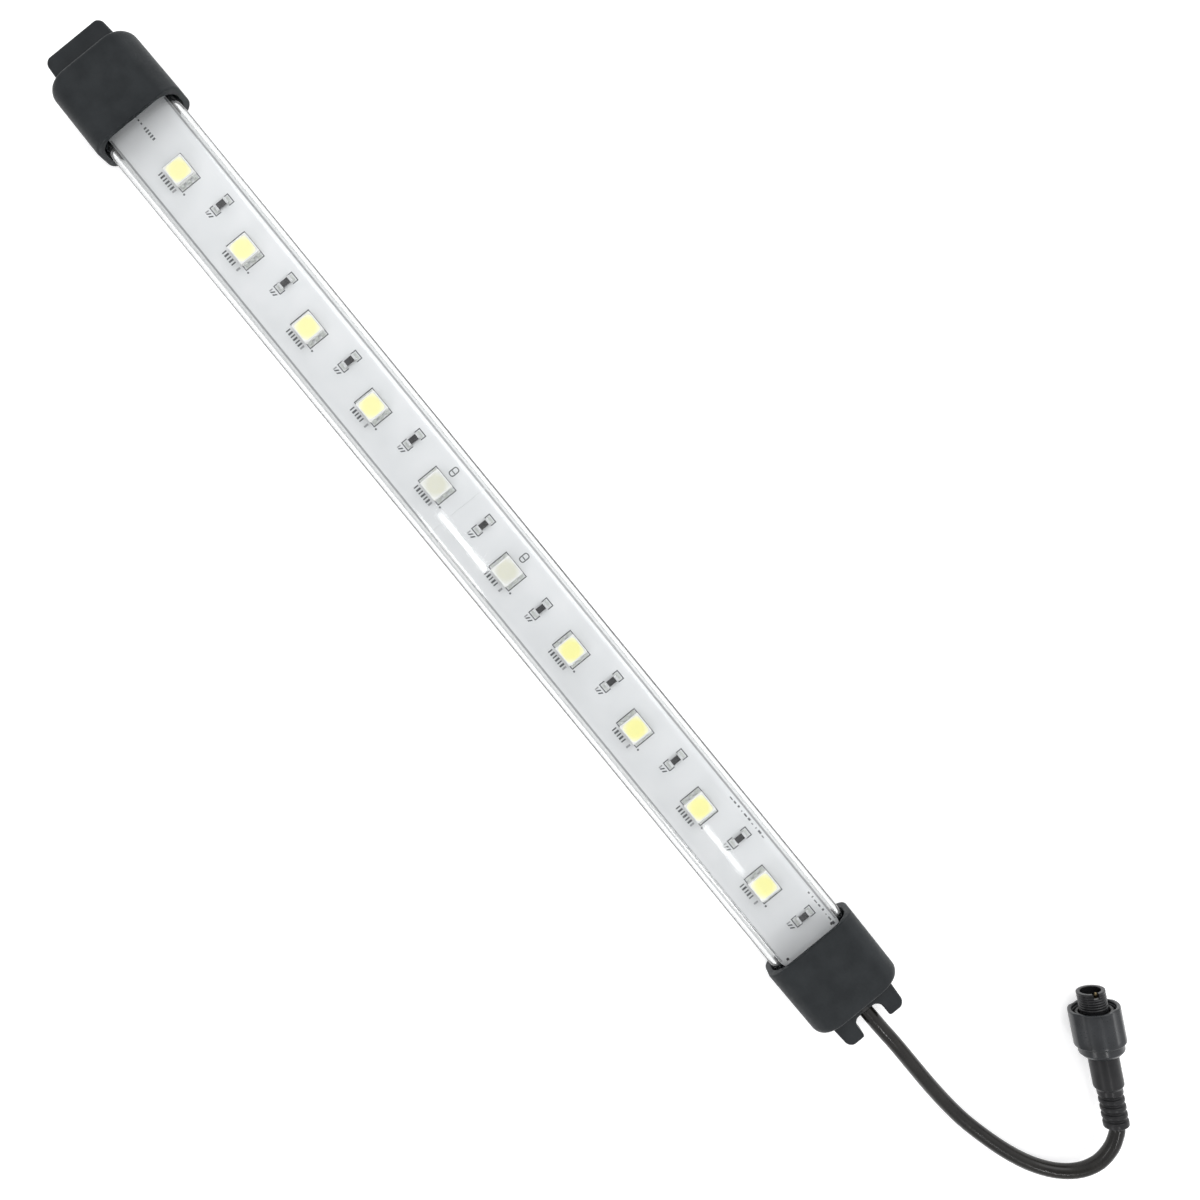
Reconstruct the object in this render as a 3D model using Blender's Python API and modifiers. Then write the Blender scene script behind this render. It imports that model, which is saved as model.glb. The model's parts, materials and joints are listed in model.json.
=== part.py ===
"""A waterproof LED light bar: a clear oval tube with a row of ten LEDs on two boards, a black cap
on each end and a short cable that ends in a connector with a loose coupling nut.

Metres, +Z up. The bar lies along X with its cable at +X and its LEDs facing up. The origin is
under the middle of the bar, on the surface that it lies on.
"""

import math

import bmesh
import bpy
from mathutils import Matrix, Vector

MM = 0.001

# Driving dimensions
LENGTH = 274.6 * MM  # from the plain tongue's tip to the tabs' tips
GAP = 0.3 * MM  # between pieces that touch
AXIS_Z = 6.5 * MM  # height of the tube's axis: half the caps' depth

TUBE_LENGTH, TUBE_WIDTH, TUBE_DEPTH, TUBE_RADIUS = 251 * MM, 19.2 * MM, 9.7 * MM, 4.0 * MM
TUBE_WALL = 1.05 * MM

CAP_DEPTH, CAP_RADIUS = 2 * AXIS_Z, 4.0 * MM
CAP_MOUTH_X, CAP_WALL_X, CAP_END_X = 113.7 * MM, 127.7 * MM, 130.9 * MM
CAP_MOUTH_WIDTH, CAP_END_WIDTH, CAP_CORNER = 22.7 * MM, 22.2 * MM, 2.6 * MM

TONGUE_THICKNESS, TONGUE_CORNER = 5 * MM, 1.0 * MM
TONGUE_BASE_WIDTH, TONGUE_TIP_WIDTH = 16.4 * MM, 15.4 * MM
TONGUE_OVERLAP = 1.6 * MM
SLOT_WIDTH, SLOT_BOTTOM_X, SLOT_CORNER = 7.0 * MM, 133.2 * MM, 1.0 * MM

BOARD_WIDTH, BOARD_THICKNESS, BOARD_TOP_Z, BOARD_CORNER = 16.2 * MM, 1.2 * MM, 5.6 * MM, 1.8 * MM
BOARD_LEFT_X, BOARD_JOINT_X, BOARD_RIGHT_X = -118.5 * MM, -6.4 * MM, 116.4 * MM
WIRE_HOLE_X, WIRE_HOLE_Y, WIRE_HOLE_RADIUS = 114.9 * MM, 6.2 * MM, 0.35 * MM

LED_PITCH, LEDS_ON_A_BOARD = 22.0 * MM, 5
FIRST_LED_X = {"a": -101.4 * MM, "b": 10.8 * MM}
LED_SIDE, LED_HEIGHT, LED_FOOT = 5.0 * MM, 1.6 * MM, 0.45 * MM
LED_FOOT_HEIGHT, LED_CHAMFER = 0.35 * MM, 0.15 * MM

RESISTOR_LENGTH, RESISTOR_WIDTH, RESISTOR_HEIGHT = 3.2 * MM, 1.6 * MM, 0.6 * MM
RESISTOR_TERMINAL, RESISTOR_STEP, RESISTOR_Y = 0.5 * MM, 0.08 * MM, 2.4 * MM
FIRST_RESISTOR_X = {"a": -90.4 * MM, "b": -0.3 * MM}
LOW_RESISTOR, LOW_RESISTOR_Y = 6, 0.5 * MM  # the one that lies nearer the middle

JUMPER_LENGTH, JUMPER_WIDTH, JUMPER_HEIGHT, JUMPER_Y = 2.6 * MM, 1.5 * MM, 0.5 * MM, 4.6 * MM
JUMPER_STEPS = 6

PLUG_INNER_X, PLUG_OUTER_X = 118.9 * MM, 124.6 * MM
PASSAGE_WIDTH, PASSAGE_DEPTH, PASSAGE_RADIUS, PASSAGE_Z = 11 * MM, 3.7 * MM, 1.75 * MM, 5.4 * MM
GASKET_OPENING_WIDTH, GASKET_OPENING_DEPTH = 15 * MM, 6.8 * MM

GLAND_FLANGE_RADIUS, GLAND_RADIUS, GLAND_INNER_X = 2.9 * MM, 2.35 * MM, 126.2 * MM
LEAD_RADIUS = 0.5 * MM
CABLE_RADIUS = 1.65 * MM

# The cable's route, in millimetres, from the gland to the connector's tail. It drops to the surface
# and rises again.
CABLE_ROUTE = [
    (133.5, 0.0, 6.5),
    (138.5, 0.1, 6.4),
    (144.0, 0.3, 5.9),
    (150.0, 0.3, 4.8),
    (156.0, 0.3, 3.5),
    (162.0, 0.5, 2.4),
    (168.0, 1.1, 1.85),
    (174.0, 2.4, 1.75),
    (180.0, 4.2, 1.75),
    (185.5, 6.7, 1.85),
    (189.9, 10.1, 2.3),
    (192.5, 14.1, 3.1),
    (193.1, 18.4, 4.1),
    (191.8, 22.6, 5.0),
    (189.7, 25.6, 5.45),
    (188.66, 26.36, 5.5),
]
CABLE_STEP = 5 * MM  # between the points of its tube

# The leads' route for the +Y side, in millimetres, from the gland to the underside of the board.
LEAD_ROUTE = [
    (125.9, 0.9, 6.5),
    (124.4, 1.2, 6.2),
    (121.5, 2.6, 5.3),
    (118.6, 4.2, 4.5),
    (116.8, 5.2, 3.8),
    (115.0, 5.8, 3.5),
    (112.5, 6.1, 3.5),
]
LEAD_STEP = 2 * MM

# The connector: its tail's place, the way it points, and what lies along its axis, measured from its tail.
TAIL = Vector((188.4 * MM, 26.5 * MM, 5.5 * MM))
HEADING = math.radians(151.8)
RELIEF_LENGTH, RELIEF_RADIUS, RELIEF_RIBS = 8.4 * MM, 2.75 * MM, 4
RELIEF_GROOVE, GROOVE_MOUTH, GROOVE_BOTTOM = 0.45 * MM, 0.84 * MM, 0.34 * MM  # depth, then widths
NECK_START, NECK_RADIUS = 9.0 * MM, 3.25 * MM
FLANGE_RADIUS, FLANGE_START, FLANGE_END = 4.2 * MM, 23.5 * MM, 24.5 * MM
GRIP_BORE_RADIUS, GRIP_BORE_START = 2.5 * MM, 19.2 * MM
INSERT_RADIUS, INSERT_SHANK_RADIUS, INSERT_TIP = 3.05 * MM, 2.2 * MM, 30 * MM
SOCKET_RADIUS, SOCKET_START = 2.2 * MM, 26.3 * MM
NOTCH_WIDTH, NOTCH_DEPTH = 1.3 * MM, 1.1 * MM
PIN_RADIUS, PIN_SPACING, PIN_START, PIN_END = 0.45 * MM, 2.0 * MM, 22.3 * MM, 29.3 * MM
O_RING_RADIUS, O_RING_SECTION = 3.7 * MM, 0.45 * MM
NUT_BACK, NUT_STEP, NUT_FRONT = 16.0 * MM, 18.5 * MM, 26.3 * MM
NUT_RADIUS, NUT_BACK_RADIUS, NUT_BORE_RADIUS, NUT_HOLE_RADIUS = 5.5 * MM, 4.85 * MM, 4.6 * MM, 3.55 * MM
NUT_SEAT = 18.7 * MM  # where its bore ends
NUT_CHAMFER = 0.8 * MM  # round its back
NUT_FLUTES, NUT_FLUTE_DEPTH, NUT_FLUTE_SPAN = 4, 0.35 * MM, math.radians(30)
NUT_FLUTE_START = math.radians(33)
WASHER_START, WASHER_END, WASHER_OUTER_RADIUS = 19.0 * MM, 19.6 * MM, 4.3 * MM

# Turning a flat outline's local Z to world X, or its plane to world XZ
ALONG_X = (math.pi / 2, 0, math.pi / 2)
ALONG_Y = (math.pi / 2, 0, 0)
FLAT = (0, 0, 0)

ARC_STEPS = 4
ROUTE_STEPS = 8  # between two known points of a route


def clear_scene():
    for old in list(bpy.data.objects):
        bpy.data.objects.remove(old)


def new_collection(name):
    made = bpy.data.collections.new(name)
    bpy.context.scene.collection.children.link(made)
    return made


def new_material(name, colour, roughness, metallic=0.0, alpha=1.0):
    made = bpy.data.materials.new(name)
    made.use_nodes = True
    shader = made.node_tree.nodes["Principled BSDF"]
    shader.inputs["Base Color"].default_value = (*colour, 1)
    shader.inputs["Roughness"].default_value = roughness
    shader.inputs["Metallic"].default_value = metallic
    shader.inputs["Alpha"].default_value = alpha
    return made


def place(name, data, material=None, location=(0, 0, 0), rotation=FLAT, parent=None):
    """A part when it has a material, else a helper that isn't rendered."""
    made = bpy.data.objects.new(name, data)
    made.location = location
    made.rotation_euler = rotation
    made.parent = parent
    if material is None:
        made.hide_render = True
        made.display_type = "WIRE"
        cutters.objects.link(made)
    else:
        data.materials.append(material)
        parts.objects.link(made)
    return made


# Outlines, as lists of (x, y)


def arc(centre, radius, start, end, steps=ARC_STEPS):
    turns = [math.radians(start + (end - start) * i / steps) for i in range(steps + 1)]
    return [(centre[0] + radius * math.cos(t), centre[1] + radius * math.sin(t)) for t in turns]


def circle(centre, radius, steps=8):
    return arc(centre, radius, 0, 360, steps)[:-1]


def rounded_rectangle(width, height, radius, steps=ARC_STEPS):
    x, y = width / 2 - radius, height / 2 - radius
    corners = [((x, y), 0), ((-x, y), 90), ((-x, -y), 180), ((x, -y), 270)]
    return [p for centre, start in corners for p in arc(centre, radius, start, start + 90, steps)]


def end_outline(back_x, back_width, front_x, front_width, corner):
    """A plan view that runs from back_x to front_x, with its two front corners rounded."""
    x, y = front_x - corner, front_width / 2 - corner
    front = arc((x, -y), corner, -90, 0) + arc((x, y), corner, 0, 90)
    return [(back_x, -back_width / 2), *front, (back_x, back_width / 2)]


# Shapes


def flat_shape(name, loops, thickness):
    """A flat outline, with any holes in it, made thickness thick about its plane."""
    curve = bpy.data.curves.new(name, "CURVE")
    curve.dimensions = "2D"
    curve.fill_mode = "BOTH"
    curve.extrude = thickness / 2
    for loop in loops:
        spline = curve.splines.new("POLY")
        spline.points.add(len(loop) - 1)
        for point, (x, y) in zip(spline.points, loop):
            point.co = (x, y, 0, 1)
        spline.use_cyclic_u = True
    return curve


def as_mesh(curve):
    """The closed mesh of a curve, which a Boolean can take."""
    holder = bpy.data.objects.new("holder", curve)
    bpy.context.scene.collection.objects.link(holder)
    graph = bpy.context.evaluated_depsgraph_get()
    mesh = bpy.data.meshes.new_from_object(holder.evaluated_get(graph))
    bpy.data.objects.remove(holder)
    mesh.name = curve.name
    shape = bmesh.new()
    shape.from_mesh(mesh)
    bmesh.ops.remove_doubles(shape, verts=shape.verts, dist=0.001 * MM)
    bmesh.ops.recalc_face_normals(shape, faces=shape.faces)
    shape.to_mesh(mesh)
    shape.free()
    return mesh


def flat_mesh(name, loops, thickness):
    return as_mesh(flat_shape(name, loops, thickness))


def box_mesh(name, size):
    mesh = bpy.data.meshes.new(name)
    shape = bmesh.new()
    bmesh.ops.create_cube(shape, size=1, matrix=Matrix.Diagonal((*size, 1)))
    shape.to_mesh(mesh)
    shape.free()
    return mesh


def rod_mesh(name, radius, length, sides=16):
    mesh = bpy.data.meshes.new(name)
    shape = bmesh.new()
    bmesh.ops.create_cone(
        shape, cap_ends=True, segments=sides, radius1=radius, radius2=radius, depth=length
    )
    shape.to_mesh(mesh)
    shape.free()
    return mesh


def profile_mesh(name, profile, is_ring):
    """A profile of (radius, height) points in the XZ plane; a ring's profile closes on itself."""
    mesh = bpy.data.meshes.new(name)
    edges = [(i, i + 1) for i in range(len(profile) - 1)]
    if is_ring:
        edges.append((len(profile) - 1, 0))
    mesh.from_pydata([(r, 0, z) for r, z in profile], edges, [])
    return mesh


def turn(part, steps=24):
    """Turns an object's profile about its Z axis. The profile runs down its outer side."""
    screw = part.modifiers.new("Turned", "SCREW")
    screw.steps = screw.render_steps = steps
    screw.use_merge_vertices = True
    screw.merge_threshold = 0.01 * MM
    return part


def combine(part, other, operation):
    boolean = part.modifiers.new(operation.title(), "BOOLEAN")
    boolean.operation = operation
    boolean.solver = "EXACT"
    boolean.object = other


def smooth_route(points, step):
    """Points about step apart on the smooth curve through the given ones, which are in millimetres.

    One more point lies close before the last, so that the end face is square to the curve there.
    """
    known = [Vector(p) * MM for p in points]
    padded = [2 * known[0] - known[1], *known, 2 * known[-1] - known[-2]]
    fine = []
    for before, start, end, after in zip(padded, padded[1:], padded[2:], padded[3:]):
        for i in range(ROUTE_STEPS):
            t = i / ROUTE_STEPS
            fine.append(
                0.5
                * (
                    2 * start
                    + (end - before) * t
                    + (2 * before - 5 * start + 4 * end - after) * t**2
                    + (3 * start - before - 3 * end + after) * t**3
                )
            )
    fine.append(known[-1])
    spans = [(b - a).length for a, b in zip(fine, fine[1:])]
    count = round(sum(spans) / step)
    route, passed, at = [fine[0]], 0.0, 0
    for i in range(1, count):
        wanted = sum(spans) * i / count
        while passed + spans[at] < wanted:
            passed += spans[at]
            at += 1
        route.append(fine[at].lerp(fine[at + 1], (wanted - passed) / spans[at]))
    return [*route, fine[-1 - ROUTE_STEPS // 2], fine[-1]]


def round_wire(name, points, radius):
    curve = bpy.data.curves.new(name, "CURVE")
    curve.dimensions = "3D"
    curve.bevel_depth = radius
    curve.bevel_resolution = 2
    curve.use_fill_caps = True
    spline = curve.splines.new("POLY")
    spline.points.add(len(points) - 1)
    for point, place_at in zip(spline.points, points):
        point.co = (*place_at, 1)
    return curve


# The bar


def make_tube():
    inner = rounded_rectangle(
        TUBE_WIDTH - 2 * TUBE_WALL, TUBE_DEPTH - 2 * TUBE_WALL, TUBE_RADIUS - TUBE_WALL
    )
    outer = rounded_rectangle(TUBE_WIDTH, TUBE_DEPTH, TUBE_RADIUS)
    clear = new_material("clear_tube", (0.93, 0.95, 0.96), 0.06, alpha=0.25)
    tube = flat_shape("clear_tube", [outer, inner], TUBE_LENGTH)
    place("clear_tube", tube, clear, (0, 0, AXIS_Z), ALONG_X)


def make_cap(name, side, has_cable):
    """A cap with its tongue. side is -1 for the end at -X and +1 for the end at +X."""

    def plan(x_points):
        return [(side * x, y) for x, y in x_points]

    black = new_material(name, (0.032, 0.038, 0.043), 0.5)
    section = rounded_rectangle(CAP_MOUTH_WIDTH, CAP_DEPTH, CAP_RADIUS)
    middle = side * (CAP_MOUTH_X + CAP_END_X) / 2
    body = flat_mesh(name, [section], CAP_END_X - CAP_MOUTH_X)
    cap = place(name, body, black, (middle, 0, AXIS_Z), ALONG_X)

    # Rounded corners and a slight taper, seen from above
    outline = end_outline(
        CAP_MOUTH_X - CAP_CORNER, CAP_MOUTH_WIDTH, CAP_END_X, CAP_END_WIDTH, CAP_CORNER
    )
    corners = flat_mesh(name + "_outline", [plan(outline)], 2 * CAP_DEPTH)
    combine(cap, place(corners.name, corners, location=(0, 0, AXIS_Z)), "INTERSECT")

    # The space for the tube
    hollow_start = CAP_MOUTH_X - CAP_CORNER
    hollow_section = rounded_rectangle(
        TUBE_WIDTH + 2 * GAP, TUBE_DEPTH + 2 * GAP, TUBE_RADIUS + GAP
    )
    hollow = flat_mesh(name + "_hollow", [hollow_section], CAP_WALL_X - hollow_start)
    hollow_at = (side * (CAP_WALL_X + hollow_start) / 2, 0, AXIS_Z)
    combine(cap, place(hollow.name, hollow, location=hollow_at, rotation=ALONG_X), "DIFFERENCE")

    outline = end_outline(
        CAP_END_X - TONGUE_OVERLAP, TONGUE_BASE_WIDTH, LENGTH / 2, TONGUE_TIP_WIDTH, TONGUE_CORNER
    )
    tongue = flat_mesh(name + "_tongue", [plan(outline)], TONGUE_THICKNESS)
    combine(cap, place(tongue.name, tongue, location=(0, 0, AXIS_Z)), "UNION")

    if has_cable:
        slot_end = LENGTH / 2 + TONGUE_OVERLAP
        slot_length = slot_end - SLOT_BOTTOM_X
        outline = [
            (slot_end - x, y)
            for x, y in end_outline(0, SLOT_WIDTH, slot_length, SLOT_WIDTH, SLOT_CORNER)
        ]
        slot = flat_mesh(name + "_slot", [outline], 2 * CAP_DEPTH)
        combine(cap, place(slot.name, slot, location=(0, 0, AXIS_Z)), "DIFFERENCE")
        hole = rod_mesh(name + "_cable_hole", GLAND_RADIUS + GAP, 2 * (SLOT_BOTTOM_X - CAP_WALL_X))
        hole_at = ((CAP_WALL_X + SLOT_BOTTOM_X) / 2, 0, AXIS_Z)
        hole_turn = (0, math.pi / 2, 0)
        combine(cap, place(hole.name, hole, location=hole_at, rotation=hole_turn), "DIFFERENCE")


def make_end_seals():
    rubber = new_material("tube_plug", (0.05, 0.05, 0.055), 0.7)
    gasket_rubber = new_material("gasket", (0.12, 0.12, 0.125), 0.8)
    inner_width = TUBE_WIDTH - 2 * (TUBE_WALL + GAP)
    inner_depth = TUBE_DEPTH - 2 * (TUBE_WALL + GAP)
    plug = rounded_rectangle(inner_width, inner_depth, TUBE_RADIUS - TUBE_WALL - GAP)
    passage = [
        (x, y + PASSAGE_Z - AXIS_Z)
        for x, y in rounded_rectangle(PASSAGE_WIDTH, PASSAGE_DEPTH, PASSAGE_RADIUS)
    ]
    ring = [
        rounded_rectangle(TUBE_WIDTH, TUBE_DEPTH, TUBE_RADIUS),
        rounded_rectangle(GASKET_OPENING_WIDTH, GASKET_OPENING_DEPTH, TUBE_RADIUS - TUBE_WALL),
    ]
    ring_start, ring_end = TUBE_LENGTH / 2 + GAP, CAP_WALL_X - GAP
    for end, side, loops in (("plain", -1, [plug]), ("cable", 1, [plug, passage])):
        plug_shape = flat_shape("tube_plug_" + end, loops, PLUG_OUTER_X - PLUG_INNER_X)
        plug_at = (side * (PLUG_INNER_X + PLUG_OUTER_X) / 2, 0, AXIS_Z)
        place(plug_shape.name, plug_shape, rubber, plug_at, ALONG_X)
        gasket = flat_shape("gasket_" + end, ring, ring_end - ring_start)
        gasket_at = (side * (ring_start + ring_end) / 2, 0, AXIS_Z)
        place(gasket.name, gasket, gasket_rubber, gasket_at, ALONG_X)


def make_boards():
    white = new_material("board", (0.80, 0.82, 0.84), 0.4)
    middle_z = BOARD_TOP_Z - BOARD_THICKNESS / 2
    ends = {
        "a": (BOARD_JOINT_X - GAP / 2, BOARD_LEFT_X, -1),
        "b": (BOARD_JOINT_X + GAP / 2, BOARD_RIGHT_X, 1),
    }
    for letter, (joint_x, outer_x, side) in ends.items():
        outline = [
            (side * x, y)
            for x, y in end_outline(
                side * joint_x, BOARD_WIDTH, side * outer_x, BOARD_WIDTH, BOARD_CORNER
            )
        ]
        loops = [outline]
        if letter == "b":
            loops += [circle((WIRE_HOLE_X, y), WIRE_HOLE_RADIUS) for y in (-WIRE_HOLE_Y, WIRE_HOLE_Y)]
        board = flat_shape("board_" + letter, loops, BOARD_THICKNESS)
        place(board.name, board, white, (0, 0, middle_z))


def make_leds():
    """Each LED stands on feet that reach a little past its body along X."""
    housing = new_material("led", (0.86, 0.85, 0.62), 0.35)
    foot = LED_SIDE / 2 + LED_FOOT
    body = LED_SIDE / 2
    half = [
        (foot, 0),
        (foot, LED_FOOT_HEIGHT),
        (body, LED_FOOT_HEIGHT),
        (body, LED_HEIGHT - LED_CHAMFER),
        (body - LED_CHAMFER, LED_HEIGHT),
    ]
    outline = half + [(-x, z) for x, z in reversed(half)]
    number = 0
    for letter in "ab":
        for i in range(LEDS_ON_A_BOARD):
            number += 1
            name = f"led_{number:02d}"
            at = (FIRST_LED_X[letter] + i * LED_PITCH, 0, BOARD_TOP_Z + GAP)
            place(name, flat_shape(name, [outline], LED_SIDE), housing, at, ALONG_Y)


def make_resistors():
    """Each chip lies across the bar, with a raised metal terminal at each end."""
    ceramic = new_material("resistor", (0.04, 0.04, 0.045), 0.4)
    end, inner = RESISTOR_LENGTH / 2, RESISTOR_LENGTH / 2 - RESISTOR_TERMINAL
    half = [
        (end, 0),
        (end, RESISTOR_HEIGHT),
        (inner, RESISTOR_HEIGHT),
        (inner, RESISTOR_HEIGHT - RESISTOR_STEP),
    ]
    outline = half + [(-y, z) for y, z in reversed(half)]
    number = 0
    for letter, count in (("a", LEDS_ON_A_BOARD - 1), ("b", LEDS_ON_A_BOARD + 1)):
        for i in range(count):
            number += 1
            name = f"resistor_{number:02d}"
            y = LOW_RESISTOR_Y if number == LOW_RESISTOR else RESISTOR_Y
            at = (FIRST_RESISTOR_X[letter] + i * LED_PITCH, y, BOARD_TOP_Z + GAP)
            chip = flat_shape(name, [outline], RESISTOR_WIDTH)
            place(name, chip, ceramic, at, ALONG_X)


def make_jumpers():
    """Solder links, humped under the joint between the boards."""
    solder = new_material("solder", (0.75, 0.76, 0.77), 0.25, metallic=1.0)
    turns = [math.pi * i / JUMPER_STEPS for i in range(JUMPER_STEPS + 1)]
    hump = [(JUMPER_LENGTH / 2 * math.cos(t), -JUMPER_HEIGHT * math.sin(t)) for t in turns]
    for name, side in (("jumper_pos", 1), ("jumper_neg", -1)):
        at = (BOARD_JOINT_X, side * JUMPER_Y, BOARD_TOP_Z - BOARD_THICKNESS - GAP)
        place(name, flat_shape(name, [hump], JUMPER_WIDTH), solder, at, ALONG_Y)


# The cable


def make_gland():
    rubber = new_material("cable_gland", (0.035, 0.035, 0.037), 0.6)
    flange_end = CAP_WALL_X - GAP
    profile = [
        (0, SLOT_BOTTOM_X),
        (GLAND_RADIUS, SLOT_BOTTOM_X),
        (GLAND_RADIUS, flange_end),
        (GLAND_FLANGE_RADIUS, flange_end),
        (GLAND_FLANGE_RADIUS, GLAND_INNER_X),
        (0, GLAND_INNER_X),
    ]
    gland = profile_mesh("cable_gland", profile, is_ring=False)
    turn(place("cable_gland", gland, rubber, (0, 0, AXIS_Z), (0, math.pi / 2, 0)), steps=16)


def make_leads():
    colours = {"lead_pos": ((0.55, 0.03, 0.02), 1), "lead_neg": ((0.03, 0.03, 0.03), -1)}
    for name, (colour, side) in colours.items():
        route = smooth_route([(x, side * y, z) for x, y, z in LEAD_ROUTE], LEAD_STEP)
        place(name, round_wire(name, route, LEAD_RADIUS), new_material(name, colour, 0.45))


def make_cable():
    black = new_material("cable", (0.035, 0.035, 0.034), 0.45)
    route = smooth_route(CABLE_ROUTE, CABLE_STEP)
    place("cable", round_wire("cable", route, CABLE_RADIUS), black)


# The connector, along its own Z axis from its tail to its tip


def make_grip(axis):
    """The moulded grip: a ribbed strain relief, a neck, and the flange that stops the nut."""
    black = new_material("connector_grip", (0.04, 0.04, 0.045), 0.5)
    groove_radius = RELIEF_RADIUS - RELIEF_GROOVE
    grooves = []
    for i in range(RELIEF_RIBS, 0, -1):
        middle = i * RELIEF_LENGTH / (RELIEF_RIBS + 1)
        grooves += [
            (RELIEF_RADIUS, middle + GROOVE_MOUTH / 2),
            (groove_radius, middle + GROOVE_BOTTOM / 2),
            (groove_radius, middle - GROOVE_BOTTOM / 2),
            (RELIEF_RADIUS, middle - GROOVE_MOUTH / 2),
        ]
    profile = [
        (0, GRIP_BORE_START),
        (GRIP_BORE_RADIUS, GRIP_BORE_START),
        (GRIP_BORE_RADIUS, FLANGE_END),
        (FLANGE_RADIUS, FLANGE_END),
        (FLANGE_RADIUS, FLANGE_START),
        (NECK_RADIUS, FLANGE_START),
        (NECK_RADIUS, NECK_START),
        (RELIEF_RADIUS, RELIEF_LENGTH),
        *grooves,
        (RELIEF_RADIUS, 0),
        (0, 0),
    ]
    grip = profile_mesh("connector_grip", profile, is_ring=False)
    turn(place("connector_grip", grip, black, parent=axis))


def make_insert(axis):
    """The contact carrier: a shank in the grip, and a keyed sleeve around the two pins."""
    black = new_material("connector_insert", (0.05, 0.05, 0.052), 0.35)
    shoulder = FLANGE_END + GAP
    profile = [
        (0, SOCKET_START),
        (SOCKET_RADIUS, SOCKET_START),
        (SOCKET_RADIUS, INSERT_TIP),
        (INSERT_RADIUS, INSERT_TIP),
        (INSERT_RADIUS, shoulder),
        (INSERT_SHANK_RADIUS, shoulder),
        (INSERT_SHANK_RADIUS, GRIP_BORE_START + GAP),
        (0, GRIP_BORE_START + GAP),
    ]
    mesh = profile_mesh("connector_insert", profile, is_ring=False)
    insert = turn(place("connector_insert", mesh, black, parent=axis))
    notch = box_mesh("key_notch", (2 * SOCKET_RADIUS, NOTCH_WIDTH, 2 * NOTCH_DEPTH))
    notch_at = (INSERT_RADIUS, 0, INSERT_TIP)
    combine(insert, place("key_notch", notch, location=notch_at, parent=axis), "DIFFERENCE")
    hole_start = PIN_START - GAP
    hole_length = SOCKET_START + PIN_RADIUS - hole_start
    for name, side in (("pos", 1), ("neg", -1)):
        hole = rod_mesh("pin_hole_" + name, PIN_RADIUS + GAP, hole_length, sides=12)
        hole_at = (0, side * PIN_SPACING / 2, hole_start + hole_length / 2)
        combine(insert, place(hole.name, hole, location=hole_at, parent=axis), "DIFFERENCE")


def make_pins(axis):
    brass = new_material("contact_pin", (0.78, 0.66, 0.38), 0.25, metallic=1.0)
    profile = [
        (0, PIN_END),
        (PIN_RADIUS * 0.5, PIN_END),
        (PIN_RADIUS, PIN_END - PIN_RADIUS),
        (PIN_RADIUS, PIN_START),
        (0, PIN_START),
    ]
    for name, side in (("contact_pin_pos", 1), ("contact_pin_neg", -1)):
        pin = profile_mesh(name, profile, is_ring=False)
        turn(place(name, pin, brass, (0, side * PIN_SPACING / 2, 0), parent=axis), steps=10)


def make_o_ring(axis):
    rubber = new_material("connector_o_ring", (0.03, 0.03, 0.032), 0.5)
    middle = FLANGE_END + GAP + O_RING_SECTION
    section = circle((O_RING_RADIUS, middle), O_RING_SECTION)
    # Reversed, so that it runs down its outer side
    ring = profile_mesh("connector_o_ring", section[::-1], is_ring=True)
    turn(place("connector_o_ring", ring, rubber, parent=axis))


def make_washer(axis):
    nylon = new_material("slip_washer", (0.75, 0.74, 0.70), 0.4)
    profile = [
        (NUT_HOLE_RADIUS, WASHER_END),
        (WASHER_OUTER_RADIUS, WASHER_END),
        (WASHER_OUTER_RADIUS, WASHER_START),
        (NUT_HOLE_RADIUS, WASHER_START),
    ]
    washer = profile_mesh("slip_washer", profile, is_ring=True)
    turn(place("slip_washer", washer, nylon, parent=axis))


def nut_outline(steps=48):
    """A circle with four shallow flutes."""
    points = []
    for i in range(steps):
        angle = 2 * math.pi * i / steps
        spacing = 2 * math.pi / NUT_FLUTES
        from_flute = (angle - NUT_FLUTE_START + spacing / 2) % spacing - spacing / 2
        depth = 0.0
        if abs(from_flute) < NUT_FLUTE_SPAN / 2:
            depth = NUT_FLUTE_DEPTH * math.cos(math.pi * from_flute / NUT_FLUTE_SPAN)
        radius = NUT_RADIUS - depth
        points.append((radius * math.cos(angle), radius * math.sin(angle)))
    return points


def make_nut(axis):
    black = new_material("coupling_nut", (0.06, 0.065, 0.07), 0.42)
    grip = flat_mesh("coupling_nut", [nut_outline()], NUT_FRONT - NUT_STEP)
    nut = place("coupling_nut", grip, black, (0, 0, (NUT_STEP + NUT_FRONT) / 2), parent=axis)
    shoulder = [
        (0, NUT_STEP + GAP),
        (NUT_BACK_RADIUS, NUT_STEP + GAP),
        (NUT_BACK_RADIUS, NUT_BACK + NUT_CHAMFER),
        (NUT_BACK_RADIUS - NUT_CHAMFER, NUT_BACK),
        (0, NUT_BACK),
    ]
    back = turn(place("nut_shoulder", profile_mesh("nut_shoulder", shoulder, False), parent=axis))
    combine(nut, back, "UNION")
    past_front = NUT_FRONT + NUT_BORE_RADIUS
    bore = [
        (0, past_front),
        (NUT_BORE_RADIUS, past_front),
        (NUT_BORE_RADIUS, NUT_SEAT),
        (NUT_HOLE_RADIUS, NUT_SEAT),
        (NUT_HOLE_RADIUS, NUT_BACK - NUT_HOLE_RADIUS),
        (0, NUT_BACK - NUT_HOLE_RADIUS),
    ]
    hollow = turn(place("nut_bore", profile_mesh("nut_bore", bore, False), parent=axis))
    combine(nut, hollow, "DIFFERENCE")


def make_connector():
    axis = bpy.data.objects.new("connector_axis", None)
    axis.location = TAIL
    axis.rotation_euler = (0, -math.pi / 2, HEADING + math.pi)
    parts.objects.link(axis)
    make_grip(axis)
    make_insert(axis)
    make_pins(axis)
    make_o_ring(axis)
    make_washer(axis)
    make_nut(axis)


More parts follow.
